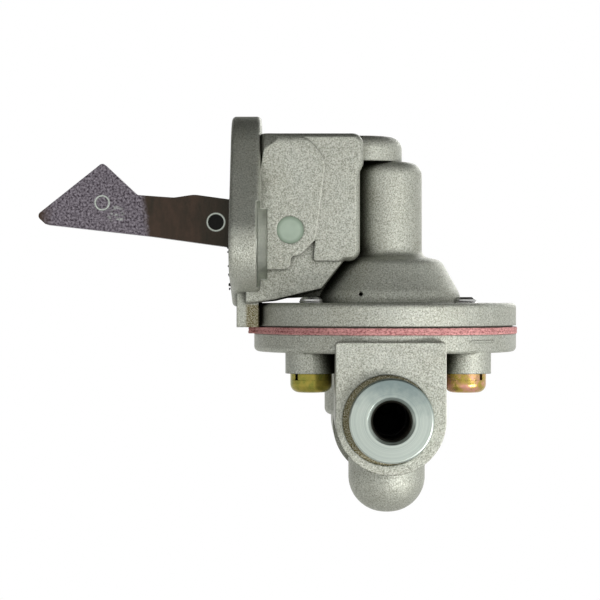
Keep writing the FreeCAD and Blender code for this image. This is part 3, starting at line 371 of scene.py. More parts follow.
def round_group():
    """Masks about an axis: a disc inside Radius, a ring at it, and turning marks of one pitch."""
    def build(tree, given):
        offset = vectors(tree, "SUBTRACT", part_place(tree), given["Centre"])
        reach = vectors(tree, "LENGTH", vectors(tree, "CROSS_PRODUCT", offset, given["Axis"]))
        inside = maths(tree, "DIVIDE", maths(tree, "SUBTRACT", given["Radius"], reach), given["Soft"])
        disc = maths(tree, "ADD", inside, 0.5, clamp=True)
        away = maths(tree, "ABSOLUTE", inside)
        ring = maths(tree, "SUBTRACT", 1.0, away, clamp=True)
        turns = maths(tree, "DIVIDE", reach, given["Pitch"])
        marks = put(tree, "TexNoise", {"W": turns, "Scale": 1.0, "Detail": 3.0, "Roughness": 0.7},
                    noise_dimensions="1D").outputs["Fac"]
        return {"Disc": disc, "Ring": ring, "Marks": marks}

    return shared_group("Round", [
        ("Centre", "Vector", (0.0, 0.0, 0.0)), ("Axis", "Vector", (0.0, 1.0, 0.0)),
        ("Radius", "Float", 0.001), ("Soft", "Float", 0.0002), ("Pitch", "Float", 0.0003)],
        [("Disc", "Float"), ("Ring", "Float"), ("Marks", "Float")], build)


def grain(tree, light, dark, width, contrast=2.0, balance=0.5, stretch=(1.0, 1.0, 1.0)):
    return put(tree, "Group", {"Light": light, "Dark": dark, "Size": width, "Contrast": contrast,
                               "Balance": balance, "Stretch": stretch},
               node_tree=grain_group()).outputs


def fade(tree, start, direction, length, wave=0.0):
    return put(tree, "Group", {"Start": start, "Direction": direction, "Length": length,
                               "Wave": wave}, node_tree=fade_group()).outputs["Mask"]


def round_marks(tree, centre, axis, radius, soft=0.2 * MM, pitch=0.3 * MM):
    return put(tree, "Group", {"Centre": centre, "Axis": axis, "Radius": radius, "Soft": soft,
                               "Pitch": pitch}, node_tree=round_group()).outputs


def surface(name, metallic, build, edge=0.0, relief=0.0):
    """A material; build gives its Base Color, Roughness and, where it has relief, its Height."""
    material = bpy.data.materials.new(name)
    material.use_nodes = True
    tree = material.node_tree
    tree.nodes.clear()
    shader = put(tree, "BsdfPrincipled", {"Metallic": metallic})
    put(tree, "OutputMaterial", {"Surface": shader.outputs[0]})
    made = build(tree)
    height = made.pop("Height", None)
    for label, value in made.items():
        join(tree, value, shader.inputs[label])
    normal = put(tree, "Bevel", {"Radius": edge}, samples=EDGE_SAMPLES).outputs[0] if edge else None
    if height:
        bump = put(tree, "Bump", {"Height": height, "Distance": relief})
        if normal:
            tree.links.new(normal, bump.inputs["Normal"])
        normal = bump.outputs[0]
    if normal:
        tree.links.new(normal, shader.inputs["Normal"])
    return material


def plain_finish(name, colour, roughness):
    """One matt colour without relief."""
    return surface(name, 0.0, lambda tree: {"Base Color": colour, "Roughness": roughness})


def give(material, *nodes):
    """Put a material on CAD nodes."""
    for name in nodes:
        for slot in frame["nodes"][name].material_slots:
            slot.material = material


# Finishes

def cast_finish(name, colours, sizes, extra_masks):
    """Blasted die casting, with painted highlights and painted shade on its edges and corners;
    extra_masks(tree) gives the milled mask and the mask of painted olive shade and shadow.
    """
    def build(tree):
        fine = grain(tree, colours.cast_light, colours.cast_dark, sizes.cast_grain, contrast=2.4)
        broad = grain(tree, colours.cast_light, colours.cast_warm, CAST_DRIFT, contrast=2.0)
        colour = mixed(tree, 0.25, fine["Colour"], broad["Colour"])
        # Painted highlight on edges that lean to the key lamp, and painted shade on those that lean
        # away.
        edge_highlight, shaded = edge_masks(tree, sizes.cast_edge)
        colour = mixed(tree, edge_highlight, colour, colours.edge_highlight)
        # Painted shade: darker in inner corners by ambient occlusion, and on the edges that lean away
        # from the key lamp.
        crevice = put(tree, "AmbientOcclusion", {"Distance": sizes.crevice_reach},
                      samples=EDGE_SAMPLES, only_local=True).outputs["AO"]
        painted_shade = sloped(tree, crevice, start=1.45, change=-1.9, clamp=True)
        painted_shade = maths(tree, "MAXIMUM", painted_shade, shaded)
        colour = mixed(tree, painted_shade, colour, colours.crevice)
        milled, olive_shade_mask = extra_masks(tree)
        marks = grain(tree, colours.milled, colours.cast_light, CUTTER_MARK, contrast=1.5,
                      balance=0.6, stretch=(1.0, 8.0, 1.0))
        colour = mixed(tree, milled, colour, marks["Colour"])
        # Painted olive shade and shadow, on the tab and round the port adaptors.
        olive_shade_grain = grain(tree, colours.cast_warm, colours.painted_olive_shade, sizes.cast_grain, contrast=4.0,
                      balance=0.35)
        colour = mixed(tree, olive_shade_mask, colour, olive_shade_grain["Colour"])
        # Painted shade inside the ports.
        colour = mixed(tree, cavity_mask(tree), colour, colours.cavity)
        rough = sloped(tree, fine["Mask"], start=0.62, change=-0.16)
        rough = sloped(tree, milled, start=rough, change=-0.14)
        plain = maths(tree, "SUBTRACT", 1.0, milled)
        return {"Base Color": colour, "Roughness": rough,
                "Height": maths(tree, "MULTIPLY", fine["Mask"], plain)}

    return surface(name, 0.85, build, sizes.cast_edge, sizes.cast_relief)


def edge_masks(tree, reach):
    """Highlight: edges and corners that lean to +X, towards the key lamp, painted as if lit. Shaded:
    those that lean to -X, up or down, painted as if in shade.
    """
    soft = put(tree, "Bevel", {"Radius": reach}, samples=EDGE_SAMPLES).outputs[0]
    lean = vectors(tree, "SUBTRACT", soft, put(tree, "NewGeometry").outputs["Normal"])
    parts = put(tree, "SeparateXYZ", {0: lean}).outputs
    edge_highlight = maths(tree, "MULTIPLY", parts[0], 0.9, clamp=True)
    left = maths(tree, "MULTIPLY", parts[0], -0.9, clamp=True)
    level = maths(tree, "MULTIPLY", maths(tree, "ABSOLUTE", parts[2]), 0.7, clamp=True)
    return edge_highlight, maths(tree, "MAXIMUM", left, level)


def between(tree, value, low, high):
    """1 where the value lies between two bounds."""
    return maths(tree, "MULTIPLY", maths(tree, "GREATER_THAN", value, low),
                 maths(tree, "LESS_THAN", value, high))


def upper_masks(tree):
    """Milled: the mounting face and the spot faces. Painted shade: olive on the near half of the tab."""
    place = put(tree, "SeparateXYZ", {0: part_place(tree)}).outputs
    milled = fade(tree, (FACE_SKIN, 0.0, 0.0), (-1.0, 0.0, 0.0), 0.02 * MM)
    for side in PORTS.values():
        disc = round_marks(tree, (0.0, side * BOLT_REACH, 0.0), RIGHT, SPOT_FACE_RADIUS,
                           0.05 * MM)["Disc"]
        milled = maths(tree, "MAXIMUM", milled,
                       maths(tree, "MULTIPLY", disc, between(tree, place[0], *SPOT_FACE_SPAN)))
    # Painted shade on the near half of the tab.
    low = fade(tree, (0.0, 0.0, TAB_SHADE_TOP), (0.0, 0.0, -1.0), 0.3 * MM, wave=0.4 * MM)
    right = fade(tree, (TAB_SHADE_LEFT, 0.0, 0.0), RIGHT, 0.5 * MM, wave=0.5 * MM)
    end = maths(tree, "LESS_THAN", place[0], TAB_SHADE_RIGHT)
    olive_shade_mask = maths(tree, "MULTIPLY", maths(tree, "MULTIPLY", low, right), end)
    return milled, olive_shade_mask


def lower_masks(tree):
    """Milled: the joint face. Painted shadow: olive crescents on the shallow seats round the port
    adaptors, set off to the left as the adaptors' cast shadow.
    """
    place = put(tree, "SeparateXYZ", {0: part_place(tree)}).outputs
    olive_shade_mask = 0.0
    for port, side in PORTS.items():
        # Painted shadow: a disc shifted left of the adaptor, which leaves an olive crescent.
        centre = middle(f"{port}_adaptor") - Vector((SEAT_SHADOW_SHIFT, 0.0, 0.0))
        disc = round_marks(tree, centre, ACROSS, SEAT_SHADOW_RADIUS, 0.1 * MM)["Disc"]
        outward = maths(tree, "MULTIPLY", place[1], side)
        here = maths(tree, "MULTIPLY", disc, between(tree, outward, *SEAT_SHADOW_SPAN))
        olive_shade_mask = maths(tree, "MAXIMUM", here, olive_shade_mask)
    milled = maths(tree, "GREATER_THAN", place[2], side_of("lower_body", 2, 1) - FACE_SKIN)
    return milled, olive_shade_mask


def cavity_mask(tree):
    """Painted shade inside the ports, past the adaptors' inner ends."""
    place = put(tree, "SeparateXYZ", {0: part_place(tree)}).outputs
    dark = 0.0
    for port, side in PORTS.items():
        disc = round_marks(tree, middle(f"{port}_adaptor"), ACROSS, PORT_BORE_RADIUS + 0.3 * MM,
                           0.1 * MM)["Disc"]
        outward = maths(tree, "MULTIPLY", place[1], side)
        here = maths(tree, "MULTIPLY", disc, between(tree, outward, *CAVITY_SPAN))
        dark = maths(tree, "MAXIMUM", here, dark)
    return dark


def arm_finish(colours, sizes):
    """Speckled hardened steel, oiled brown from its middle to the flange, with struck marks."""
    def build(tree):
        speckle = grain(tree, colours.arm_light, colours.arm_dark, ARM_SPECKLE, contrast=3.2,
                        balance=0.45)
        brown = grain(tree, colours.arm_brown, colours.arm_root, ARM_DRIFT, contrast=2.0,
                      balance=0.7, stretch=(1.0, 1.0, 0.4))
        oiled = fade(tree, (OIL_START, 0.0, 0.0), (1.0, 0.0, 0.12), 1.4 * MM, wave=1.5 * MM)
        colour = mixed(tree, oiled, speckle["Colour"], brown["Colour"])
        # Darker towards the flange.
        root = fade(tree, (ROOT_START, 0.0, 0.0), RIGHT, 9.0 * MM, wave=2.0 * MM)
        colour = mixed(tree, root, colour, colours.arm_root)
        tip = fade(tree, (TIP_START, 0.0, 0.0), (-1.0, 0.0, 0.0), 3.0 * MM, wave=1.5 * MM)
        colour = mixed(tree, tip, colour, colours.arm_brown)
        wiped = round_marks(tree, SMUDGE, ACROSS, SMUDGE_RADIUS, 1.4 * MM)["Disc"]
        patch = grain(tree, colours.struck, colours.arm_dark, 0.9 * MM, contrast=5.0, balance=0.3,
                      stretch=(0.6, 1.0, 1.0))
        colour = mixed(tree, maths(tree, "MULTIPLY", wiped, patch["Mask"]), colour, colours.struck)
        for centre, radius in ((PUNCH_MARK, PUNCH_MARK_RADIUS), (DIMPLE, DIMPLE_RADIUS)):
            ring = round_marks(tree, centre, ACROSS, radius, 0.3 * MM)["Ring"]
            colour = mixed(tree, ring, colour, colours.struck)
        # Painted shade in the dimple's pit.
        pit = round_marks(tree, DIMPLE, ACROSS, DIMPLE_PIT_RADIUS, 0.15 * MM)["Disc"]
        colour = mixed(tree, pit, colour, colours.cavity)
        smooth = sloped(tree, oiled, start=0.5, change=-0.12)
        rough = sloped(tree, speckle["Mask"], start=smooth, change=-0.1)
        return {"Base Color": colour, "Roughness": rough, "Height": speckle["Mask"]}

    return surface("phosphated_steel", 0.75, build, sizes.steel_edge, 0.02 * MM)


def turned_finish(name, light, dark, centre, axis, pitch, roughness, edge):
    """Metal turned about an axis, with fine rings and a little mottling."""
    def build(tree):
        marks = round_marks(tree, centre, axis, 1.0, 1.0, pitch)["Marks"]
        tone = grain(tree, light, dark, TURNED_DRIFT, contrast=1.6, balance=0.7)
        ringed = sloped(tree, marks, start=-0.45, change=1.6, clamp=True)
        colour = mixed(tree, ringed, mixed(tree, 0.35, tone["Colour"], dark), tone["Colour"])
        rough = sloped(tree, marks, start=roughness - 0.08, change=0.16)
        return {"Base Color": colour, "Roughness": rough, "Height": marks}

    return surface(name, 1.0, build, edge, 0.015 * MM)


def gold_finish(colours, sizes):
    """Yellow zinc: olive left of the rim's axis, gold and rose right of it, bare at the tips."""
    def build(tree):
        drift = grain(tree, colours.gold, colours.olive, GOLD_DRIFT, contrast=3.5, balance=0.5)
        flush = grain(tree, colours.rose, colours.gold, ROSE_DRIFT, contrast=4.0, balance=0.3)
        right = fade(tree, RIM_AXIS, RIGHT, 1 * MM)
        olive = mixed(tree, 0.55, drift["Colour"], colours.olive)
        rosy = mixed(tree, flush["Mask"], mixed(tree, 0.5, drift["Colour"], colours.gold), colours.rose)
        colour = mixed(tree, right, olive, rosy)
        tip = fade(tree, (0.0, 0.0, SCREW_TOP - 1.6 * MM), UP, 0.3 * MM)
        colour = mixed(tree, tip, colour, colours.steel)
        rough = sloped(tree, drift["Mask"], start=0.24, change=0.1)
        return {"Base Color": colour, "Roughness": rough, "Height": drift["Mask"]}

    return surface("yellow_zinc", 1.0, build, sizes.steel_edge, 0.01 * MM)


def fabric_finish(colours):
    """Rubbered fabric: threads show as dark marks in a pink cut edge."""
    def build(tree):
        threads = grain(tree, colours.fabric, colours.fabric_dark, FABRIC_THREAD, contrast=5.0,
                        balance=0.8, stretch=(1.0, 1.0, 1.6))
        broad = grain(tree, colours.fabric, colours.fabric_dark, FABRIC_DRIFT, contrast=2.0,
                      balance=0.85)
        colour = mixed(tree, 0.35, threads["Colour"], broad["Colour"])
        return {"Base Color": colour, "Roughness": 0.75, "Height": threads["Mask"]}

    return surface("diaphragm_fabric", 0.0, build, 0.0, 0.06 * MM)


def mottled_finish(name, light, dark, width, roughness, metallic, edge=0.0):
    """Two tones in patches of one width, a little rougher where they are light."""
    def build(tree):
        tone = grain(tree, light, dark, width, contrast=2.2)
        rough = sloped(tree, tone["Mask"], start=roughness - 0.06, change=0.12)
        return {"Base Color": tone["Colour"], "Roughness": rough, "Height": tone["Mask"]}

    return surface(name, metallic, build, edge, 0.01 * MM)


def darker(colour, share):
    return [channel * share for channel in colour]


# Meshes

def new_piece(name, points, faces, material, slot, smooth_angle=30.0):
    """A mesh that rides on the housing, shaded smooth up to an angle between faces."""
    mesh = bpy.data.meshes.new(name)
    mesh.from_pydata([tuple(p) for p in points], [], faces)
    mesh.validate()
    mesh.shade_smooth()
    mesh.set_sharp_from_angle(angle=math.radians(smooth_angle))
    mesh.materials.append(material)
    piece = bpy.data.objects.new(name, mesh)
    bpy.context.scene.collection.objects.link(piece)
    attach(piece, "housing")
    return piece


def swept(sections, closed=False):
    """Points and faces of a tube through equal sections, with end caps unless it closes."""
    sides = len(sections[0])
    points = [p for section in sections for p in section]
    faces = []
    spans = len(sections) if closed else len(sections) - 1
    for i in range(spans):
        here = i * sides
        after = (i + 1) % len(sections) * sides
        for k in range(sides):
            following = (k + 1) % sides
            faces.append((here + k, here + following, after + following, after + k))
    if not closed:
        faces.append(tuple(range(sides))[::-1])
        faces.append(tuple(range(len(points) - sides, len(points))))
    return points, faces


def coil(low, high, centre, outer_radius, wire, turns):
    """A compression spring with closed, ground ends, between two heights."""
    steps = int(turns * COIL_STEPS)
    radius = outer_radius - wire
    end_inset = wire * 0.7
    first = low + end_inset
    last = high - end_inset
    closed_turn = 0.75
    sections = []
    for i in range(steps + 1):
        turn = turns * i / steps
        angle = 2 * math.pi * turn
        outward = Vector((math.cos(angle), math.sin(angle), 0.0))
        slow = min(turn, turns - turn) / closed_turn
        rise_share = (turn - closed_turn / 2) / (turns - closed_turn)
        if slow < 1.0:
            eased = slow * slow * closed_turn / 2 / (turns - closed_turn)
            rise_share = eased if turn < turns / 2 else 1.0 - eased
        z = first + (last - first) * min(max(rise_share, 0.0), 1.0)
        middle_point = Vector((centre.x, centre.y, z)) + outward * radius
        section = []
        for k in range(WIRE_SIDES):
            around = 2 * math.pi * k / WIRE_SIDES
            point = middle_point + outward * (wire * math.cos(around))
            point.z = min(max(point.z + wire * math.sin(around), low), high)
            section.append(point)
        sections.append(section)
    return swept(sections)


def thread(centre, axis, start, end, root, crest, pitch):
    """A helical ridge about an axis; the crest lies inside the root for a bore."""
    axis = Vector(axis)
    side = axis.orthogonal().normalized()
    length = abs(end - start)
    steps = int(length / pitch * THREAD_STEPS)
    flank = (1 if end > start else -1) * pitch * 0.42
    sections = []
    for i in range(steps + 1):
        share = i / steps
        along = start + (end - start) * share
        outward = Quaternion(axis, 2 * math.pi * i / THREAD_STEPS) @ side
        taper = min(1.0, 2.5 * min(share, 1 - share) * length / pitch)
        top = root + (crest - root) * taper
        section = [(along - flank, root), (along, top), (along + flank, root)]
        sections.append([centre + axis * a + outward * r for a, r in section])
    return swept(sections)


def lump(centre, radius, seed):
    """An uneven crumb of residue."""
    rng = random.Random(seed)
    points, faces = [], []
    rings, sides = 5, 8
    pole_share = 0.8
    squash = 0.7
    for i in range(rings + 1):
        tilt = math.pi * i / rings
        for k in range(sides):
            turn = 2 * math.pi * k / sides
            reach = radius * rng.uniform(0.65, 1.15)
            if i in (0, rings):
                reach = radius * pole_share
            points.append(centre + Vector((math.cos(tilt) * squash,
                                           math.sin(tilt) * math.cos(turn),
                                           math.sin(tilt) * math.sin(turn))) * reach)
    for i in range(rings):
        for k in range(sides):
            following = (k + 1) % sides
            faces.append((i * sides + k, i * sides + following,
                          (i + 1) * sides + following, (i + 1) * sides + k))
    return points, faces


# Operators

class PUMP_OT_castings(bpy.types.Operator):
    """Finish both castings and add the cast bar and the residue on the mounting face"""

    bl_idname = "pump.castings"
    bl_label = "Castings"

    def execute(self, context):
        colours = context.scene.pump_colours
        sizes = context.scene.pump_sizes
        give(cast_finish("cast_upper", colours, sizes, upper_masks), "upper_body")
        lower = cast_finish("cast_lower", colours, sizes, lower_masks)
        give(lower, "lower_body")
        self.cast_bar(lower)
        self.residue(colours)
        return {"FINISHED"}

    def cast_bar(self, material):
        """A low bar with round ends on the lower rim's edge."""
        first, last = math.radians(-54.4), math.radians(-38.4)
        height = -21.1 * MM
        half = 0.4 * MM
        stand = 0.18 * MM
        sunk = 0.2 * MM
        sections = []
        for i in range(BAR_STEPS + 1):
            share = i / BAR_STEPS
            angle = first + (last - first) * share
            outward = Vector((math.cos(angle), math.sin(angle), 0.0))
            thin = math.sqrt(max(1 - abs(2 * share - 1) ** 6, 0.02))
            foot = Vector((RIM_AXIS.x, RIM_AXIS.y, height)) + outward * (RIM_RADIUS - sunk)
            section = []
            for reach, up in ((0.0, -1.0), (0.2, -1.0), (1.0, -0.7), (1.0, 0.7), (0.2, 1.0), (0.0, 1.0)):
                out = outward * (reach * stand * thin + sunk * (reach > 0))
                section.append(foot + out + Vector((0.0, 0.0, up * half * thin)))
            sections.append(section)
        new_piece("cast_bar", *swept(sections), material, "cast_aluminium")

    def residue(self, colours):
        """Crumbs of soot along the mounting face's near edge."""
        soot = mottled_finish("soot", colours.soot, darker(colours.soot, 0.4), 0.2 * MM, 0.8, 0.0)
        points, faces = [], []
        for seed, (y, z, radius) in enumerate(CRUMBS):
            some, more = lump(Vector((-0.1, y, z)) * MM, radius * MM, seed)
            faces += [tuple(len(points) + index for index in face) for face in more]
            points += some
        new_piece("mounting_residue", points, faces, soot, "cast_aluminium", smooth_angle=60.0)


class PUMP_OT_diaphragm(bpy.types.Operator):
    """Make the two rubbered fabric sheets with their uneven cut edge"""

    bl_idname = "pump.diaphragm"
    bl_label = "Diaphragm"

    def execute(self, context):
        fray = context.scene.pump_sizes.fray
        material = fabric_finish(context.scene.pump_colours)
        for number, word in enumerate(("upper", "lower")):
            node = f"diaphragm_sheet_{word}"
            top = side_of(node, 2, 1)
            points, faces = self.sheet(top, SHEET_THICKNESS, fray, random.Random(number))
            piece = new_piece(f"fabric_sheet_{word}", points, faces, material, "diaphragm_fabric")
            self.punch_screw_holes(piece, top)
            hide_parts(node)
        return {"FINISHED"}

    def sheet(self, top, thickness, fray, rng):
        """A dished disc with a hole for the rod and a tab towards the mounting flange."""
        low_box, high_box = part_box("diaphragm_sheet_upper")
        outer = high_box.x - RIM_AXIS.x
        tab_reach = RIM_AXIS.x - low_box.x
        tab_half_width = 5 * MM
        edge_round = 0.1 * MM
        hole = 2.55 * MM
        plate = side_of("diaphragm_plate_upper", 0, 1) - RIM_AXIS.x + 0.4 * MM
        clamp = 19.6 * MM
        waves = [(rng.uniform(0.4, 1.0), rng.randint(9, 60), rng.uniform(0, 6.28)) for _ in range(9)]
        total = sum(size for size, _, _ in waves)
        sections = []
        for i in range(SHEET_STEPS):
            angle = 2 * math.pi * i / SHEET_STEPS
            outward = Vector((math.cos(angle), math.sin(angle), 0.0))
            wave = sum(size * math.sin(count * angle + phase) for size, count, phase in waves) / total
            worn_back = fray * (0.5 - 0.5 * wave)
            edge = outer - worn_back
            if outward.x < 0 and abs(outward.y) * outer < tab_half_width:
                edge = tab_reach / -outward.x - worn_back
            lean = fray * 0.5 * math.sin(13 * angle + waves[0][2])
            ring = [(hole, -SHEET_SAG), (plate, -SHEET_SAG), (clamp, 0.0), (edge - edge_round, 0.0),
                    (edge + lean * 0.2, -0.25 * thickness), (edge - lean * 0.2, -0.75 * thickness),
                    (edge - edge_round, -thickness), (clamp, -thickness),
                    (plate, -SHEET_SAG - thickness), (hole, -SHEET_SAG - thickness)]
            sections.append([Vector((RIM_AXIS.x, RIM_AXIS.y, top + z)) + outward * min(r, edge)
                             for r, z in ring])
        return swept(sections, closed=True)

    def punch_screw_holes(self, piece, top):
        """Cut the four holes that the rim screws pass through."""
        hole_radius = 2.75 * MM
        for number in range(1, 5):
            spot = middle(f"flange_screw_{number}")
            spot.z = top
            bpy.ops.mesh.primitive_cylinder_add(vertices=40, radius=hole_radius, depth=4 * MM,
                                                location=spot)
            punch = bpy.context.active_object
            cut = piece.modifiers.new("screw_hole", "BOOLEAN")
            cut.operation = "DIFFERENCE"
            cut.solver = "EXACT"
            cut.object = punch
            apply_modifiers(piece)
            bpy.data.objects.remove(punch)


def apply_modifiers(piece):
    """Turn what the modifiers show into the piece's own mesh."""
    graph = bpy.context.evaluated_depsgraph_get()
    made = bpy.data.meshes.new_from_object(piece.evaluated_get(graph))
    piece.modifiers.clear()
    piece.data = made
    made.shade_smooth()
    made.set_sharp_from_angle(angle=math.radians(30.0))


class PUMP_OT_springs(bpy.types.Operator):
    """Wind the round-wire springs in the place of their plain solids"""

    bl_idname = "pump.springs"
    bl_label = "Springs"

    def execute(self, context):
        colours = context.scene.pump_colours
        sizes = context.scene.pump_sizes
        material = mottled_finish("spring_wire", colours.wire, darker(colours.wire, 0.55),
                                  STEEL_DRIFT, 0.35, 1.0)
        for node, wire, turns, joint, fixed_end in (
                ("diaphragm_spring", sizes.main_wire, 5.5, "rod_lift", 1),
                ("arm_return_spring", sizes.arm_wire, 6.5, "arm_swing", 0),
                ("inlet_valve_spring", sizes.valve_wire, 5.5, "inlet_disc_lift", 1),
                ("outlet_valve_spring", sizes.valve_wire, 5.5, "outlet_disc_drop", 0)):
            low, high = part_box(node)
            centre = (low + high) / 2
            outer = (high.x - low.x) / 2
            piece = new_piece(f"{node}_wire", *coil(low.z, high.z, centre, outer, wire, turns),
                              material, "spring_steel", smooth_angle=50.0)
            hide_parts(node)
            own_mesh(piece)
        return {"FINISHED"}

    def travel(self, name, centre):
        """How far the moving end of the spring goes at the joint's limit."""
        joint = next(j for j in frame["joints"] if j["name"] == name)
        if joint["type"] == "slide":
            return joint["range_m"][1]
        reach = abs(PIVOT.x - centre.x)
        return reach * math.sin(math.radians(joint["range_deg"][1]))


class PUMP_OT_arm(bpy.types.Operator):
    """Finish the rocker arm and the link lever"""

    bl_idname = "pump.arm"
    bl_label = "Rocker arm and link"

    def execute(self, context):
        colours = context.scene.pump_colours
        sizes = context.scene.pump_sizes
        give(arm_finish(colours, sizes), "rocker_arm")
        link = mottled_finish("link_steel", colours.arm_light, colours.arm_brown, STEEL_DRIFT, 0.5,
                              0.8, sizes.steel_edge)
        give(link, "link_lever")
        return {"FINISHED"}


class PUMP_OT_turned_parts(bpy.types.Operator):
    """Finish the pin, its plugs, the pull rod, the plates, the retainer and the seal"""

    bl_idname = "pump.turned_parts"
    bl_label = "Pin, rod and seal"

    def execute(self, context):
        colours = context.scene.pump_colours
        sizes = context.scene.pump_sizes
        pitch = sizes.turning_pitch
        give(turned_finish("pin_steel", colours.steel, colours.steel_dark, PIVOT, ACROSS, pitch, 0.3,
                           sizes.steel_edge), "pivot_pin")
        give(turned_finish("rod_steel", colours.steel, colours.steel_dark, RIM_AXIS, UP, pitch, 0.35,
                           sizes.steel_edge),
             "pull_rod", "diaphragm_plate_upper", "diaphragm_plate_lower", "seal_retainer")
        give(mottled_finish("seal_rubber", colours.rubber, darker(colours.rubber, 0.5), 0.8 * MM, 0.6,
                            0.0), "oil_seal")
        give(self.plug_finish(colours, sizes), "pin_plug_near", "pin_plug_far")
        return {"FINISHED"}

    def plug_finish(self, colours, sizes):
        """Smooth pale metal that dulls towards its rim."""
        def build(tree):
            disc = round_marks(tree, PIVOT, ACROSS, 2.55 * MM, 0.9 * MM)["Disc"]
            tone = grain(tree, colours.plug, colours.plug_rim, PLUG_DRIFT, contrast=0.8,
                         balance=0.85)
            return {"Base Color": mixed(tree, disc, colours.plug_rim, tone["Colour"]),
                    "Roughness": sloped(tree, disc, start=0.55, change=-0.2)}

        return surface("plug_metal", 0.3, build, sizes.steel_edge)


class PUMP_OT_ports(bpy.types.Operator):
    """Finish the port adaptors and cut their threads"""

    bl_idname = "pump.ports"
    bl_label = "Port adaptors"

    def execute(self, context):
        colours = context.scene.pump_colours
        sizes = context.scene.pump_sizes
        for port, side in PORTS.items():
            node = f"{port}_adaptor"
            centre = middle(node)
            axis = Vector((0.0, side, 0.0))
            finish = self.plated_finish(port, centre, colours, sizes)
            give(finish, node)
            outer_end = abs(side_of(node, 1, side > 0)) - 1.1 * MM
            inner_end = abs(side_of(node, 1, side < 0)) + 0.6 * MM
            foot = Vector((centre.x, 0.0, centre.z))
            crest = PORT_BORE_RADIUS - sizes.thread_depth * 1.3
            shape = thread(foot, axis, outer_end, inner_end, PORT_BORE_RADIUS, crest,
                           sizes.port_pitch)
            new_piece(f"{port}_thread", *shape, finish, "zinc_steel")
        return {"FINISHED"}

    def plated_finish(self, port, centre, colours, sizes):
        """Turned face under clear zinc, greyer towards the top as a painted reflection, with painted
        shade in the bore.
        """
        def build(tree):
            marks = round_marks(tree, centre, ACROSS, 1.0, 1.0, sizes.turning_pitch)["Marks"]
            # Painted reflection, greyer towards the top.
            shade = fade(tree, centre + Vector((0.0, 0.0, 2.0 * MM)), (0.2, 0.0, 1.0), 6 * MM,
                         wave=5 * MM)
            colour = mixed(tree, shade, colours.plated, colours.plated_shade)
            lined = sloped(tree, marks, start=-0.75, change=2.2, clamp=True)
            colour = mixed(tree, lined, mixed(tree, 0.5, colour, colours.plated_shade), colour)
            # Painted shade on the bore wall and the threads.
            bore = round_marks(tree, centre, ACROSS, PORT_BORE_RADIUS + 0.15 * MM, 0.1 * MM)
            colour = mixed(tree, bore["Disc"], colour, colours.bore)
            rough = sloped(tree, marks, start=0.25, change=0.2)
            return {"Base Color": colour, "Roughness": rough, "Height": marks}

        return surface(f"{port}_plated", 1.0, build, sizes.steel_edge, 0.02 * MM)


class PUMP_OT_fasteners(bpy.types.Operator):
    """Finish the rim screws and spring washers and cut the screws' threads"""

    bl_idname = "pump.fasteners"
    bl_label = "Screws and washers"

    def execute(self, context):
        sizes = context.scene.pump_sizes
        gold = gold_finish(context.scene.pump_colours, sizes)
        for number in range(1, 5):
            node = f"flange_screw_{number}"
            give(gold, node, f"spring_washer_{number}")
            foot = middle(node)
            foot.z = 0.0
            shank = 2.43 * MM
            crest = shank + sizes.thread_depth * 0.8
            shape = thread(foot, UP, SCREW_TOP - 0.7 * MM, SCREW_TOP - 6.5 * MM, shank, crest,
                           sizes.screw_pitch)
            new_piece(f"screw_thread_{number}", *shape, gold, "yellow_zinc")
        return {"FINISHED"}


class PUMP_OT_valves(bpy.types.Operator):
    """Finish the valve seats, cages and discs"""

    bl_idname = "pump.valves"
    bl_label = "Valves"

    def execute(self, context):
        colours = context.scene.pump_colours
        sizes = context.scene.pump_sizes
        plastic = mottled_finish("valve_plastic", colours.plastic, darker(colours.plastic, 0.6),
                                 1.0 * MM, 0.45, 0.0, sizes.steel_edge)
        for port in PORTS:
            brass = turned_finish(f"{port}_brass", colours.brass, darker(colours.brass, 0.6),
                                  middle(f"{port}_valve_seat"), UP, sizes.turning_pitch, 0.3,
                                  sizes.steel_edge)
            give(brass, f"{port}_valve_seat", f"{port}_valve_cage")
            give(plastic, f"{port}_valve_disc")
        return {"FINISHED"}


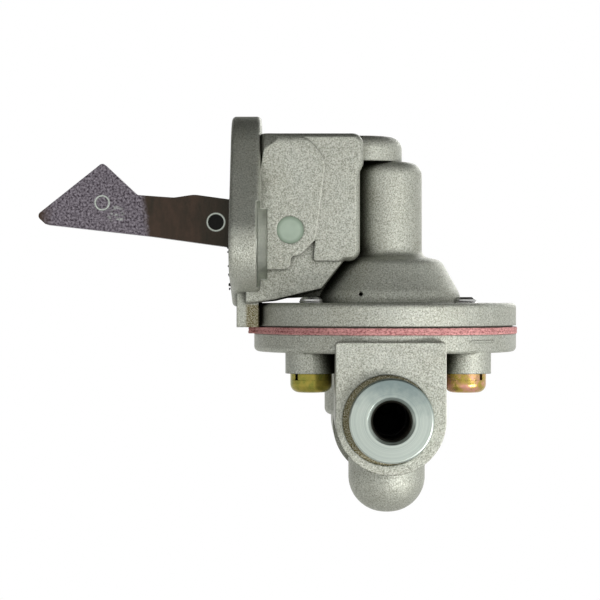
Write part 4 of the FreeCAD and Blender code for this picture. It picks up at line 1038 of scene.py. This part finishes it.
class PUMP_OT_stage(bpy.types.Operator):
    """Set the floor, the flags, the lamps, the white surround and the camera"""

    bl_idname = "pump.stage"
    bl_label = "Stage"

    def execute(self, context):
        scene = context.scene
        scene.view_settings.view_transform = "Standard"
        self.white_world(scene)
        self.floor(scene.pump_colours)
        for flag in FLAGS:
            self.flag(*flag)
        for lamp in LAMPS:
            self.lamp(*lamp)
        self.camera(scene)
        return {"FINISHED"}

    def white_world(self, scene):
        """White to the camera and in reflections, and a softer white for what it lights."""
        world = bpy.data.worlds.new("surround")
        scene.world = world
        world.use_nodes = True
        tree = world.node_tree
        tree.nodes.clear()
        strength = sloped(tree, seen_directly(tree), start=SURROUND_LIT,
                          change=SURROUND_SEEN - SURROUND_LIT)
        shader = put(tree, "Background", {"Color": WHITE, "Strength": strength})
        put(tree, "OutputWorld", {"Surface": shader.outputs[0]})

    def floor(self, colours):
        """A pale round floor below the pump that fades to the white surround at its rim."""
        material = plain_finish("floor", colours.floor, 0.8)
        tree = material.node_tree
        matt = tree.nodes["Principled BSDF"].outputs[0]
        glow = put(tree, "Emission", {"Color": WHITE, "Strength": SURROUND_SEEN}).outputs[0]
        reach = maths(tree, "DIVIDE", vectors(tree, "LENGTH", part_place(tree)), FLOOR_RADIUS)
        share = sloped(tree, reach, start=0.45, change=0.6, clamp=True)
        shown = maths(tree, "MULTIPLY", seen_directly(tree), share)
        both = put(tree, "MixShader", {0: shown, 1: matt, 2: glow})
        tree.links.new(both.outputs[0], tree.nodes["Material Output"].inputs["Surface"])
        bpy.ops.mesh.primitive_circle_add(vertices=96, radius=FLOOR_RADIUS, fill_type="NGON",
                                          location=(RIM_AXIS.x, 0.0, FLOOR_HEIGHT))
        floor = bpy.context.active_object
        floor.name = "floor"
        floor.data.materials.append(material)

    def flag(self, name, place, turn, width):
        """A dark card that shows in reflections and holds light off the pump; turn is in degrees."""
        bpy.ops.mesh.primitive_plane_add(size=width, location=place,
                                         rotation=(0.0, math.radians(turn), 0.0))
        card = bpy.context.active_object
        card.name = name
        card.visible_camera = False
        card.data.materials.append(plain_finish(name, FLAG_COLOUR, 0.9))

    def lamp(self, name, place, width, power):
        """A square lamp that looks at the pump."""
        light = bpy.data.lights.new(name, "AREA")
        light.size = width
        light.energy = power
        lamp = bpy.data.objects.new(name, light)
        lamp.location = place
        aim = LAMP_AIM - Vector(place)
        lamp.rotation_mode = "QUATERNION"
        lamp.rotation_quaternion = aim.to_track_quat("-Z", "Y")
        lamp.visible_camera = False
        bpy.context.scene.collection.objects.link(lamp)

    def camera(self, scene):
        """Square to the pump's near side, level, with a long lens."""
        data = bpy.data.cameras.new("camera")
        camera = bpy.data.objects.new("camera", data)
        scene.collection.objects.link(camera)
        data.sensor_width = CAMERA_SENSOR
        data.lens = CAMERA_SENSOR * -CAMERA_PLACE[1] / CAMERA_FIELD
        data.clip_start = CAMERA_CLIP
        camera.location = CAMERA_PLACE
        camera.rotation_euler = (math.radians(90), 0.0, 0.0)
        scene.camera = camera


class PUMP_PT_panel(bpy.types.Panel):
    """Sizes, colours and steps of the fuel feed pump"""

    bl_idname = "PUMP_PT_panel"
    bl_label = "Fuel Feed Pump"
    bl_space_type = "VIEW_3D"
    bl_region_type = "UI"
    bl_category = "Fuel Pump"

    def draw(self, context):
        for operator in OPERATORS:
            self.layout.operator(operator.bl_idname)
        for group in (context.scene.pump_sizes, context.scene.pump_colours):
            box = self.layout.box()
            for name in group.bl_rna.properties.keys():
                if name not in ("rna_type", "name"):
                    box.prop(group, name)


OPERATORS = (PUMP_OT_castings, PUMP_OT_diaphragm, PUMP_OT_springs, PUMP_OT_arm,
             PUMP_OT_turned_parts, PUMP_OT_ports, PUMP_OT_fasteners, PUMP_OT_valves, PUMP_OT_stage)
CLASSES = (PumpColours, PumpSizes, *OPERATORS, PUMP_PT_panel)


def register():
    for item in CLASSES:
        bpy.utils.register_class(item)
    bpy.types.Scene.pump_colours = bpy.props.PointerProperty(type=PumpColours)
    bpy.types.Scene.pump_sizes = bpy.props.PointerProperty(type=PumpSizes)


def unregister():
    del bpy.types.Scene.pump_sizes
    del bpy.types.Scene.pump_colours
    for item in reversed(CLASSES):
        bpy.utils.unregister_class(item)


def main():
    register()
    for operator in OPERATORS:
        family, name = operator.bl_idname.split(".")
        getattr(getattr(bpy.ops, family), name)()


if __name__ == "__main__":
    main()
